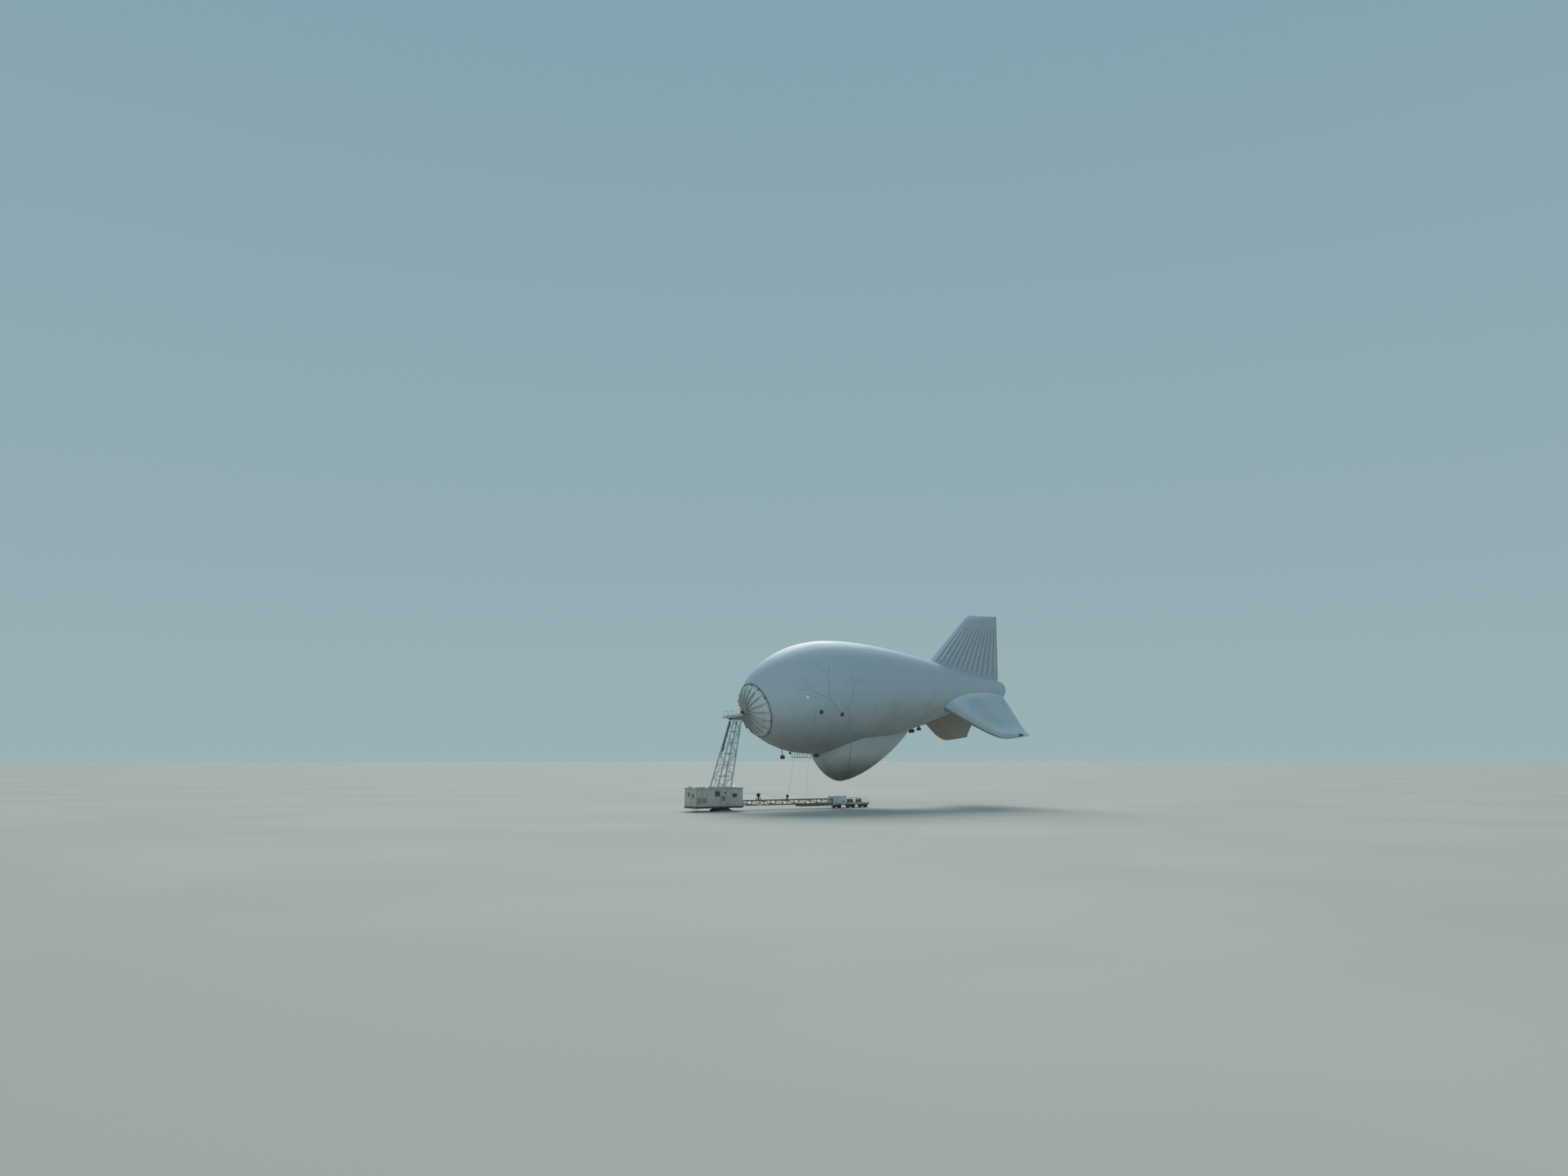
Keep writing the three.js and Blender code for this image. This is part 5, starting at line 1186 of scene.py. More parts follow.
def hull_stations():
    """Places of the rings: close together where the nose and the tail turn in."""
    nose = [NOSE_LENGTH * (1 - math.cos(f * math.pi / 2)) for f in np.linspace(0.012, 1, 50)]
    stern_end = HULL_LENGTH - TAIL_RADIUS
    stern = list(np.linspace(NOSE_LENGTH, stern_end, 76)[1:])
    tail = [stern_end + TAIL_RADIUS * math.sin(f * math.pi / 2) for f in np.linspace(0.08, 0.985, 14)]
    return nose + stern + tail


def hull_mesh():
    sides = GORES * GORE_STEPS
    lobes = [math.sin(math.pi * (i % GORE_STEPS) / GORE_STEPS) ** 0.7 - 0.5 for i in range(sides)]
    rings = []
    for s in hull_stations():
        swell = GORE_SWELL * radius_at(s) / HULL_RADIUS
        rings.append([on_hull(s, 360 * i / sides, swell * lobe) for i, lobe in enumerate(lobes)])
    points, faces = skin_grid(rings)
    for tip, first in ((len(points), 0), (len(points) + 1, len(points) - sides)):
        faces += [(tip, first + i, first + (i + 1) % sides) for i in range(sides)]
    return points + [Vector(), Vector((-HULL_LENGTH, 0, 0))], faces


def weave(at, threads):
    """The height of a plain cloth's threads, that many to the metre."""
    x, y, z = at.split()
    return (x * threads * math.pi).math("SINE") * ((y + z) * threads * math.pi).math("SINE")


def envelope_paint(at):
    x, y, z = at.split()
    aft = x * -1
    rise = aft * (1 - aft / HULL_LENGTH) * (4 * HULL_RISE / HULL_LENGTH)
    tape = ((z - rise).math("ARCTAN2", y) * (GORES / (2 * math.pi))).line(0.028)
    bands = (x / BAND_PITCH).line(0.010)
    cloud = at.noise(0.35, 4, 0.55)
    streak = at.noise(1.4, 4, 0.6, (0.25, 1.0, 0.6)).step(0.42, 0.75)
    # Painted shade: the cloth darkens towards the belly, standing in for the weak light from the ground, and reaches
    # higher on the slim tail. Streaks and clouds of dust share the same mix.
    slim = aft.step(10, 32) * (0.45 * HULL_RADIUS)
    low = ((rise - z) / (HULL_RADIUS - slim)).step(-0.2, 1.0)
    dust = low * 0.80 + streak * 0.16 + (cloud - 0.5) * 0.4
    cloth = dust.step(0.0, 1.1).mix(FABRIC_CLEAN, FABRIC_DUST_AND_BELLY_SHADE)
    return {
        "Base Color": (tape * 0.4).math("MAXIMUM", bands * 0.3).mix(cloth, FABRIC_TAPE),
        "Roughness": 0.52 + cloud * 0.16 - tape * 0.1,
        "Specular IOR Level": 0.32,
        "Normal": (tape * 0.35 + bands * 0.3 + cloud * 0.6 + weave(at, 90) * 0.03).bump(0.5, 0.012),
    }


envelope_fabric = surface("envelope_fabric", envelope_paint)
hull = mesh_piece("hull_skin", *hull_mesh(), envelope_fabric, AEROSTAT)
mount(hull, stands_for="hull_envelope")


# Windscreen: an air-held cover of grey fabric over the radar. It is cut in hoops across the belly, and
# its edge is laced to a flange on the hull. Its lower part is painted darker, as shade.
SCREEN_FRONT, SCREEN_REAR = 15.39 * M, 37.18 * M
SCREEN_WIDEST, SCREEN_LOWEST = 21.88 * M, 20.15 * M
SCREEN_HALF_WIDTH = 6.19 * M
SCREEN_TOP = -10.2 * M
SCREEN_BOTTOM = -16.08 * M
SCREEN_REAR_END = -7.86 * M
SCREEN_HOOP = 1.02
SCREEN_MAIN_SEAM = 9.40
SCREEN_SWELL = 0.012
SCREEN_SIDES = 72
SCREEN_TUCK = Vector((0, 0, 0.10))
SCREEN_CLOTH = (0.45, 0.49, 0.50)
# The dark colour of the painted shade low on the screen.
SCREEN_LOW_SHADE = (0.105, 0.112, 0.10)
SCREEN_SEAM = (0.16, 0.17, 0.17)


def screen_width(s):
    if s < SCREEN_WIDEST:
        u = (SCREEN_WIDEST - s) / (SCREEN_WIDEST - SCREEN_FRONT)
        return SCREEN_HALF_WIDTH * max(0, 1 - u * u) ** 0.304
    u = (s - SCREEN_WIDEST) / (SCREEN_REAR - SCREEN_WIDEST)
    return SCREEN_HALF_WIDTH * max(0, 1 - u ** 1.19) ** 0.686


def screen_bottom(s):
    if s < SCREEN_LOWEST:
        u = (SCREEN_LOWEST - s) / (SCREEN_LOWEST - SCREEN_FRONT)
        return SCREEN_TOP + (SCREEN_BOTTOM - SCREEN_TOP) * max(0, 1 - u * u) ** 0.83
    u = (s - SCREEN_LOWEST) / (SCREEN_REAR - SCREEN_LOWEST)
    return SCREEN_BOTTOM + (SCREEN_REAR_END - SCREEN_BOTTOM) * u ** 1.58


def screen_hoop(s):
    """Half a hoop, from inside the port edge under the belly to inside the starboard edge. It swells between seams."""
    lobe = math.sin(math.pi * (((s - SCREEN_MAIN_SEAM) / SCREEN_HOOP) % 1)) ** 0.7 - 0.5
    half = screen_width(s)
    seam = -math.sqrt(max(radius_at(s) ** 2 - half ** 2, 0))
    depth = max(seam - screen_bottom(s), 0.0)
    ring = []
    for turn in np.linspace(0, math.pi, SCREEN_SIDES + 1):
        out = 1 + SCREEN_SWELL * lobe / SCREEN_HALF_WIDTH * math.sin(turn)
        ring.append(Vector((-s, out * half * math.cos(turn), rise_at(s) + seam - out * depth * math.sin(turn))))
    return [ring[0] + SCREEN_TUCK] + ring + [ring[-1] + SCREEN_TUCK]


def screen_paint(at):
    x, y, z = at.split()
    aft = (x + SCREEN_MAIN_SEAM) / SCREEN_HOOP
    seam = aft.line(0.03)
    main = 1 - aft.math("ABSOLUTE").step(0.0, 0.05)
    cloud = at.noise(0.5, 4, 0.55)
    # Painted shade: the cloth darkens towards the bottom of the screen.
    low_shade = (z * -1 - 4.5).step(0.0, 2.9)
    cloth = (low_shade * 0.8 + (cloud - 0.5) * 0.6).step(0, 1).mix(SCREEN_CLOTH, SCREEN_LOW_SHADE)
    return {
        "Base Color": (seam * 0.2).math("MAXIMUM", main * 0.8).mix(cloth, SCREEN_SEAM),
        "Roughness": 0.7 + cloud * 0.15,
        "Specular IOR Level": 0.3,
        "Normal": (seam * 0.8 + cloud * 0.5 + weave(at, 90) * 0.03).bump(0.5, 0.012),
    }


screen_fabric = surface("screen_fabric", screen_paint)
places = [SCREEN_FRONT + (SCREEN_WIDEST - SCREEN_FRONT) * (1 - math.cos(f * math.pi / 2))
          for f in np.linspace(0.03, 1, 34)]
places += [SCREEN_WIDEST + (SCREEN_REAR - SCREEN_WIDEST) * f for f in np.linspace(0.02, 0.997, 70)]
hoops = skin_grid([screen_hoop(s) for s in places], closed=False)
mount(mesh_piece("windscreen_skin", *hoops, screen_fabric, AEROSTAT), stands_for="windscreen")


# Nose cap: a laced fabric cap held down by stiff battens, which spread the mast's grip over the nose. They meet at
# a steel hub, and a rope ring closes the cap's edge.
CAP_DROOP = math.radians(12)
CAP_RADIUS = 2.5
CAP_TILT = 0.2
CAP_INSIDE = 0.30
CAP_CLEAN, CAP_DARKER = (0.60, 0.67, 0.68), (0.45, 0.50, 0.495)
PADS = (22, 48, 75, 105, 132, 158, -30, -60, -120, -150)
BATTENS = 18
BATTEN_STEPS = 6
LACES = 108
HUB_RADIUS = 0.375
HUB_REACH = 0.31
cap_forward = Vector((math.cos(CAP_DROOP), 0, -math.sin(CAP_DROOP)))
cap_up = Vector((math.sin(CAP_DROOP), 0, math.cos(CAP_DROOP)))
cap_heart = Vector((-0.35 * NOSE_LENGTH, 0, 0)) - cap_forward * 0.05


def cap_radial(turn):
    """The way across the cap at an angle round its axis, from port over the top."""
    return PORT * math.cos(turn) + cap_up * math.sin(turn)


def cap_side(turn):
    """The way round the cap's axis at that angle."""
    return cap_forward.cross(cap_radial(turn)).normalized()


def cap_edge(turn):
    """How far the cap's edge lies from its axis: less over the top than under the chin."""
    return CAP_RADIUS - CAP_TILT * math.sin(turn)


def on_cap(reach, turn):
    """The point of the hull that lies `reach` from the cap's axis."""
    start = cap_heart + cap_radial(turn) * reach
    low, high = -3.0, 6.0
    for _ in range(26):
        middle = (low + high) / 2
        p = start + cap_forward * middle
        if p.x < 0 and math.hypot(p.y, p.z - rise_at(-p.x)) < radius_at(-p.x):
            low = middle
        else:
            high = middle
    return start + cap_forward * low


def cap_out(p):
    """The way out of the hull at a point of the cap."""
    return hull_out(max(-p.x, 0.02), math.degrees(math.atan2(p.z - rise_at(-p.x), p.y)))


def above_cap(reach, turn, out):
    p = on_cap(reach, turn)
    return p + cap_out(p) * out


def cap_paint(at):
    cloud = at.noise(1.6, 4, 0.6)
    streak = at.noise(5.0, 3, 0.6, (0.4, 1.0, 0.4)).step(0.45, 0.75)
    # The cloth darkens in clouds and streaks, and towards the bottom of the cap.
    low = (at.split()[2] * -1).step(-0.5, 2.6)
    dust = (streak * 0.35 + (cloud - 0.4) * 0.5 + low * 0.5).step(0, 1)
    return {
        "Base Color": dust.mix(CAP_CLEAN, CAP_DARKER),
        "Roughness": 0.7 + cloud * 0.15,
        "Specular IOR Level": 0.3,
        "Normal": (cloud * 0.6 + weave(at, 70) * 0.05).bump(0.5, 0.012),
    }


cap_fabric = surface("cap_fabric", cap_paint)
batten_paint = coated("batten_paint", (0.38, 0.41, 0.405), (0.26, 0.26, 0.235), 0.5, 0.5, 0.4, 0.1)
cap_cord = coated("cap_cord", (0.42, 0.44, 0.42), (0.30, 0.29, 0.26), 0.75, 0.4, 0.3, 0.2)
dark_lacing = coated("dark_lacing", (0.07, 0.075, 0.075), (0.16, 0.16, 0.15), 0.75, 0.4, 0.3, 0.2)
turns = [2 * math.pi * (i / BATTEN_STEPS + 0.5) / BATTENS for i in range(BATTENS * BATTEN_STEPS)]
sags = [math.sin(math.pi * (i % BATTEN_STEPS) / BATTEN_STEPS) for i in range(len(turns))]
rings = []
for f in np.linspace(0, 1, 22):
    rings.append([above_cap(CAP_INSIDE + f * (cap_edge(turn) - 0.33), turn, 0.028 - 0.016 * sag * f)
                  for turn, sag in zip(turns, sags)])
rings.append([above_cap(cap_edge(turn), turn, -0.01) for turn in turns])
mount(mesh_piece("cap_cover", *skin_grid(rings), cap_fabric, AEROSTAT))

aloft, lacing = Bench(AEROSTAT), Bench(AEROSTAT)
for i in range(BATTENS):
    turn = 2 * math.pi * (i + 0.5) / BATTENS
    side = cap_side(turn)
    rings = []
    for k, f in enumerate(np.linspace(0, 1, 19)):
        p = on_cap(CAP_INSIDE + f * (cap_edge(turn) - 0.36), turn)
        way = cap_out(p)
        tall, half = (0.235 - 0.045 * f, 0.038) if f < 0.8 else (0.07, 0.030)
        beam = ((1, -0.02), (1, 0.05), (0.45, 0.06), (0.45, tall - 0.03), (1, tall - 0.02), (1, tall))
        beam = [(-a, b) for a, b in beam] + [*reversed(beam)]
        rings.append([p + side * a * half + way * b for a, b in beam])
        if k % 2:
            for a in (-1, 1):
                base = p + side * a * 0.075
                lacing.bar(base - way * 0.01, base + way * 0.045, 0.030, 0.030, side)
                lacing.rod(base + way * 0.035, p + side * a * 0.03 + way * (0.20 - 0.05 * f), 0.008, 8)
        if k == 14:
            aloft.rod(p - way * 0.02, p + way * 0.24, 0.040, 12, 0.008)
    aloft.add(*lofted(rings))
aloft.fit("cap_battens", batten_paint, "nose_frame", stands_for="nose_battens")
lacing.fit("batten_lacing", cap_cord, "nose_frame")

hub_foot = on_cap(0, 0)
hub = [(HUB_RADIUS, -0.05), (HUB_RADIUS, 0.03), (HUB_RADIUS - 0.02, 0.05), (0.24, 0.09), (0.20, 0.16), (0.20, 0.22),
       (0.235, 0.24), (0.235, HUB_REACH - 0.01), (0.225, HUB_REACH)]
aloft.turned(hub, hub_foot, cap_forward, 48)
for i in range(BATTENS):
    turn = 2 * math.pi * i / BATTENS
    way = cap_radial(turn)
    aloft.bolt(hub_foot + way * 0.335 + cap_forward * 0.048, cap_forward, 0.022)
    foot, top = hub_foot + way * 0.34 + cap_forward * 0.05, hub_foot + way * 0.20 + cap_forward * 0.20
    aloft.bar(foot, top, 0.014, 0.06, cap_radial(turn + math.pi / 2))
aloft.fit("cap_hub", batten_paint, "nose_frame")

turns = np.linspace(0, 2 * math.pi, 97)[:-1]
aloft.pipe([above_cap(cap_edge(turn), turn, 0.022) for turn in turns], 0.034, 10, closed=True)
lacing.pipe([above_cap(cap_edge(turn) - 0.11, turn, 0.030) for turn in turns], 0.016, 8, closed=True)
for i in range(LACES):
    turn = 2 * math.pi * i / LACES
    a, b = on_cap(cap_edge(turn) - 0.13, turn - 0.012), on_cap(cap_edge(turn) + 0.055, turn + 0.012)
    lacing.rod(a + cap_out(a) * 0.045, b + cap_out(b) * 0.02, 0.009, 8)
    lacing.rod(b - cap_out(b) * 0.01, b + cap_out(b) * 0.028, 0.018, 8)
for degrees in PADS:
    turn = math.radians(degrees)
    p = on_cap(cap_edge(turn) - 0.06, turn)
    way, reach = cap_out(p), cap_side(turn) * 0.10
    aloft.bar(p - reach + way * 0.045, p + reach + way * 0.045, 0.15, 0.05, way, 0.01)
aloft.fit("cap_ring", dark_lacing, "black_fittings", stands_for="nose_ring")
lacing.fit("cap_lacing", cap_cord, "nose_frame")

claw_foot = hub_foot + cap_forward * (HUB_REACH + 0.012)
for i in range(4):
    way = cap_radial(math.pi * (i + 0.5) / 2)
    aloft.bar(claw_foot + way * 0.195, claw_foot + way * 0.185 + cap_forward * 0.17, 0.05, 0.03, way, 0.006)
    pin = claw_foot + cap_forward * 0.09
    aloft.rod(pin + way * 0.165, pin + way * 0.225, 0.014, 12)
aloft.fit("latch_claws", bolt_steel, "black_fittings")


# Tapes and patches on the hull: narrow webbing runs bonded to the skin in long forks, with a fan patch where each
# ends, and load patches low on the sides. Two bands bind the tail.
FORKS = [
    [(13.31, 33.8), (12.1, 23.9), (11.64, -0.2)],
    [(10.76, 35.0), (12.1, 23.9)],
    [(7.52, 25.6), (8.33, 10.3), (10.09, 2.2), (11.64, -0.2), (12.99, -11.5), (14.38, -19.0)],
    [(6.15, 11.1), (8.33, 10.3)],
    [(16.94, 21.8), (17.19, 9.8), (16.02, -8.0), (14.95, -15.2), (14.38, -19.0)],
    [(19.58, 14.7), (17.19, 9.8)],
    [(8.97, -14.8), (9.36, -29.9), (9.26, -51.7)],
    [(11.96, -29.3), (12.85, -42.5)],
]
LOAD_PATCHES = [(16.05, -24.3), (22.07, -19.3), (27.66, -22.9)]
PATCH_TURN = 4.2
TAIL_BANDS = (60.9, 62.6)


def hull_strip(bench, path, width, thick):
    """A flat tape along points of the hull, given in real metres aft of the nose and degrees above port."""
    places = []
    for (s0, a0), (s1, a1) in zip(path, path[1:]):
        steps = max(2, int(2 * math.hypot(s1 - s0, math.radians(a1 - a0) * 8)))
        places += [(s0 + (s1 - s0) * k / steps, a0 + (a1 - a0) * k / steps) for k in range(steps)]
    places.append(path[-1])
    middles = [on_hull(s * M, angle) for s, angle in places]
    half = width / 2
    section = ((-half, -0.012), (-half, thick * 0.5), (0.006 - half, thick),
               (half - 0.006, thick), (half, thick * 0.5), (half, -0.012))
    rings = []
    for k, (s, angle) in enumerate(places):
        way = middles[min(k + 1, len(places) - 1)] - middles[max(k - 1, 0)]
        out = hull_out(s * M, angle)
        side = out.cross(way).normalized()
        rings.append([middles[k] + side * a + out * b for a, b in section])
    bench.add(*lofted(rings))


def hull_fitting(bench, s, angle, profile, sides):
    """A turned fitting that stands on the hull, its place given like a tape's."""
    bench.turned(profile, on_hull(s * M, angle), hull_out(s * M, angle), sides)


def tape_paint(at):
    cloud = at.noise(3.0, 4, 0.6)
    return {
        "Base Color": cloud.step(0.3, 0.7).mix((0.20, 0.225, 0.235), (0.29, 0.315, 0.32)),
        "Roughness": 0.72 + cloud * 0.15,
        "Normal": (weave(at, 120) * 0.3 + cloud * 0.3).bump(0.4, 0.006),
    }


webbing = surface("webbing", tape_paint)
patches = Bench(AEROSTAT)
fork_ends = sorted({end for fork in FORKS for end in (fork[0], fork[-1])})
for first, way in ((0, 1), (180, -1)):
    for s, a in fork_ends:
        hull_fitting(patches, s, first + way * a, [(0, 0.014), (0.07, 0.011), (0.09, 0.006), (0.09, -0.02)], 20)
    for fork in FORKS:
        hull_strip(aloft, [(s, first + way * a) for s, a in fork], 0.034, 0.008)
    for s, a in LOAD_PATCHES:
        middle = first + way * a
        hull_strip(aloft, [(s - 0.1, middle - PATCH_TURN), (s + 0.1, middle + PATCH_TURN)], 0.062, 0.014)
        hull_fitting(patches, s, middle, [(0, 0.010), (0.22, 0.008), (0.24, 0.004), (0.24, -0.03)], 28)
    hull_fitting(aloft, 15.46, first + way * 13.5, [(0, 0.02), (0.05, 0.018), (0.06, -0.02)], 16)
for s in TAIL_BANDS:
    hull_strip(patches, [(s, a) for a in np.linspace(0, 360, 41)], 0.04, 0.006)
aloft.fit("hull_webbing", webbing, "envelope_fabric", sharp=60)
patches.fit("hull_patches", envelope_fabric, "envelope_fabric")


# Valves: spring-loaded gas valves under dark domed covers, each clamped to the skin by a bolted ring. A small
# white filling port stands ahead of them on each side.
VALVES = {
    "valve_front_port": (10.2, -15.7), "valve_rear_port": (14.4, -19.0),
    "valve_front_starboard": (10.2, 195.7), "valve_rear_starboard": (14.4, 199.0),
}
COVER = [(0.195, -0.03), (0.195, 0.016), (0.188, 0.024), (0.150, 0.024), (0.146, 0.034), (0.135, 0.042)]
COVER += bowl(0.13, 0.035, 7, 0.042, 0.15)
PORT_COVER = [(0.16, -0.03), (0.16, 0.012), (0.11, 0.02), (0.10, 0.09), (0.085, 0.11)]
for name, (s, angle) in VALVES.items():
    out = hull_out(s * M, angle)
    hull_fitting(aloft, s, angle, COVER, 40)
    for at in around(on_hull(s * M, angle) + out * 0.023, *across(out), 0.170, 16):
        aloft.bolt(at, out, 0.010)
    aloft.fit(name + "_cover", black_paint, "black_fittings", stands_for=name)
for angle in (1.1, 178.9):
    hull_fitting(aloft, 7.76, angle, PORT_COVER, 32)
aloft.fit("filling_ports", dome_shell, "white_paint")


# Windscreen's edge: a laced flange tape of the hull's fabric along the seam. A dark louvred steel vent box is
# fixed to the hull at its front.
VENT_AFT = 14.85 * M
for side in (1, -1):
    seam = []
    for s in np.linspace(SCREEN_FRONT + 0.01, SCREEN_REAR - 0.01, 90):
        half = min(screen_width(s), 0.999 * radius_at(s))
        angle = -math.degrees(math.acos(half / radius_at(s)))
        seam.append((s / M, angle if side > 0 else -180 - angle))
    hull_strip(aloft, seam, 0.085, 0.016)
aloft.fit("windscreen_flange", envelope_fabric, "screen_fabric", sharp=60)
level = belly_at(VENT_AFT)
aloft.block(about(-VENT_AFT, 0.17), about(0, 0.17), (level - 0.30, level + 0.12), 0.02)
aloft.block(about(-VENT_AFT, 0.18), about(0, 0.18), (level - 0.07, level - 0.04))
for k in range(6):
    for out in (PORT, -PORT, AHEAD):
        at = Vector((-VENT_AFT, 0, level - 0.28 + 0.034 * k)) + out * 0.172
        reach = UP.cross(out) * 0.13
        aloft.bar(at - reach, at + reach, 0.024, 0.006, out * 0.6 + UP * 0.8)
aloft.fit("screen_vent_box", black_paint, "black_fittings", stands_for="screen_vent")


# Gear under the nose: a ribbed electronics unit on a strut, a warning lamp, and a frame of light tubes that
# carries the tether's fittings.
UNIT_X = -7.3 * M
LAMP_X = -9.1 * M
FRAME_FRONT, FRAME_REAR = 4.8, 6.7
FRAME_HALF = 0.25
level = belly_at(-UNIT_X)
aloft.rod((UNIT_X, 0, level + 0.08), (UNIT_X - 0.05, 0, level - 0.675), 0.036, 16)
aloft.turned([(0.11, 0), (0.11, 0.015), (0.06, 0.03), (0.045, 0.07)], (UNIT_X - 0.005, 0, level - 0.01), -UP, 28)
aloft.block((UNIT_X - 0.21, UNIT_X + 0.135), about(0, 0.135), (level - 0.985, level - 0.66), 0.03)
for k in range(9):
    for side in (-1, 1):
        aloft.block(about(UNIT_X - 0.19 + 0.038 * k, 0.005), (side * 0.133, side * 0.151),
                    (level - 0.95, level - 0.70), 0.001)
aloft.turned([(0.10, 0), (0.10, 0.02), (0.09, 0.03)], (UNIT_X - 0.04, 0, level - 0.655), UP, 28)
aloft.fit("belly_unit_case", black_paint, "black_fittings", stands_for="belly_unit")
lens = [(0.085, 0), (0.085, 0.01), (0.07, 0.012), (0.05, 0.004), (0, 0.002)]
aloft.turned(lens, (UNIT_X + 0.136, 0, level - 0.82), AHEAD, 28, shut=False)
aloft.fit("belly_unit_lens", glass, "black_fittings")

level = belly_at(-LAMP_X)
aloft.rod((LAMP_X, 0, level + 0.08), (LAMP_X, 0, level - 0.12), 0.028, 14)
lamp_cap = [(0, 0), (0.06, 0), (0.085, 0.02), (0.10, 0.05), (0.115, 0.10), (0.119, 0.13), (0.112, 0.135)]
aloft.turned(lamp_cap, (LAMP_X, 0, level - 0.09), -UP, 32, shut=False)
aloft.fit("belly_lamp_cap", black_paint, "black_fittings", stands_for="belly_lamp")
aloft.turned([(0.112, -0.01)] + bowl(0.112, 0.105, 10), (LAMP_X, 0, level - 0.222), -UP, 32)
aloft.fit("belly_lamp_glass", glass, "black_fittings")


def frame_at(s, side=0):
    """A point of the frame, from its middle (0) to its tubes (1 or -1)."""
    drop = 0.36 - 0.15 * (FRAME_REAR - s) / (FRAME_REAR - FRAME_FRONT)
    return Vector((-s, side * FRAME_HALF, belly_at(FRAME_REAR) - drop))


posts = np.linspace(FRAME_FRONT + 0.095, FRAME_REAR - 0.095, 4)
for side in (-1, 1):
    y = side * FRAME_HALF
    aloft.rod(frame_at(FRAME_FRONT, side), frame_at(FRAME_REAR, side), 0.024, 14, 0.004)
    for s in posts:
        foot, top = frame_at(s, side), Vector((-s, 0.6 * y, belly_at(s) + 0.02))
        aloft.rod(foot, top, 0.019, 12)
        aloft.turned([(0.07, 0), (0.07, 0.012), (0.03, 0.03)], top, -UP, 20)
        aloft.rod(foot - AHEAD * 0.035, foot + AHEAD * 0.035, 0.032, 14, 0.005)
    for before, s in zip(posts, posts[1:]):
        aloft.rod(frame_at(before, side), (-s, 0.66 * y, belly_at(s) - 0.06), 0.010, 8)
for s in posts:
    aloft.rod(frame_at(s, -1), frame_at(s, 1), 0.016, 12)
aloft.fit("belly_frame_tubes", rail_paint, "mast_paint", stands_for="belly_frame")


# Blowers and duct: two fans in rolled housings keep the air cells full, and a ribbed dark hose along the belly
# carries their air to the fins.
DUCT_FRONT, DUCT_LENGTH = 20.6, 3.8
DUCT_STEPS = 152
STRAP_RADIUS = 0.118
BLOWERS = {"blower_front": (19.1, 0.5, 0.275, 0.18), "blower_rear": (20.05, 0.4, 0.36, 0.13)}


def hose_paint(at):
    cloud = at.noise(4.0, 4, 0.6)
    return {
        "Base Color": cloud.step(0.3, 0.8).mix((0.045, 0.042, 0.038), (0.10, 0.095, 0.085)),
        "Roughness": 0.7 + cloud * 0.2,
        "Normal": (weave(at, 150) * 0.2 + cloud * 0.3).bump(0.4, 0.006),
    }


for name, (s, long, drop, r) in BLOWERS.items():
    belly = belly_at(s)
    mouth = Vector((long / 2 - s, 0, belly - drop))
    body = [(0.55, 0.03), (0.80, 0.035), (1, 0), (1, 0.03), (0.93, 0.05)]
    body += [(0.95 if k % 2 else 0.93, 0.05 + (long - 0.1) * k / 8) for k in range(1, 8)]
    body += [(0.93, long - 0.05), (1, long - 0.03), (1, long), (0.85, long - 0.02), (0.55, long - 0.03)]
    aloft.turned([(wide * r, z) for wide, z in body], mouth, -AHEAD, 40, shut=False)
    for z, way in ((0.03, 1), (long - 0.03, -1)):
        hub = [(0.3 * r, z), (0.56 * r, z + way * 0.01), (0.56 * r, z + way * 0.05)]
        aloft.turned(hub, mouth, -AHEAD, 28)
    for k in range(5):
        aloft.pipe(around(mouth + AHEAD * 0.002, PORT, UP, (0.3 + 0.15 * k) * r, 28), 0.004, 6, closed=True)
    aloft.block(about(-s, 0.085), about(0, 0.085), (mouth.z + 0.6 * r, belly + 0.05), 0.014)
    aloft.turned([(0.15, 0), (0.15, 0.014), (0.10, 0.03)], (-s, 0, belly - 0.004), -UP, 28)
    for side in (-1, 1):
        stay = (0.05 - s, side * 0.20, belly_at(s - 0.05) + 0.02)
        aloft.rod((-s, side * 0.8 * r, mouth.z + 0.3 * r), stay, 0.010, 8)
    aloft.fit(name + "_housing", black_paint, "black_fittings", stands_for=name)

duct_hose = surface("duct_hose", hose_paint)
rings = []
for k in range(DUCT_STEPS + 1):
    s = DUCT_FRONT + DUCT_LENGTH * k / DUCT_STEPS
    r = 0.04 if k in (0, DUCT_STEPS) else (0.104, 0.110, 0.104, 0.096)[k % 4]
    rings.append(around((-s, 0, belly_at(s)), PORT, UP, r, 24))
mount(mesh_piece("duct_hose", *lofted(rings), duct_hose, AEROSTAT), stands_for="belly_duct")
for s in np.linspace(20.85, 24.2, 8):
    hull_strip(aloft, [(s / M, a) for a in about(-90, 3.6)], 0.05, 0.012)
    turns = np.linspace(-math.pi, 0, 13)
    aloft.pipe([(-s, STRAP_RADIUS * math.cos(t), belly_at(s) + STRAP_RADIUS * math.sin(t)) for t in turns], 0.010, 8)
aloft.fit("duct_straps", webbing, "duct_fabric")


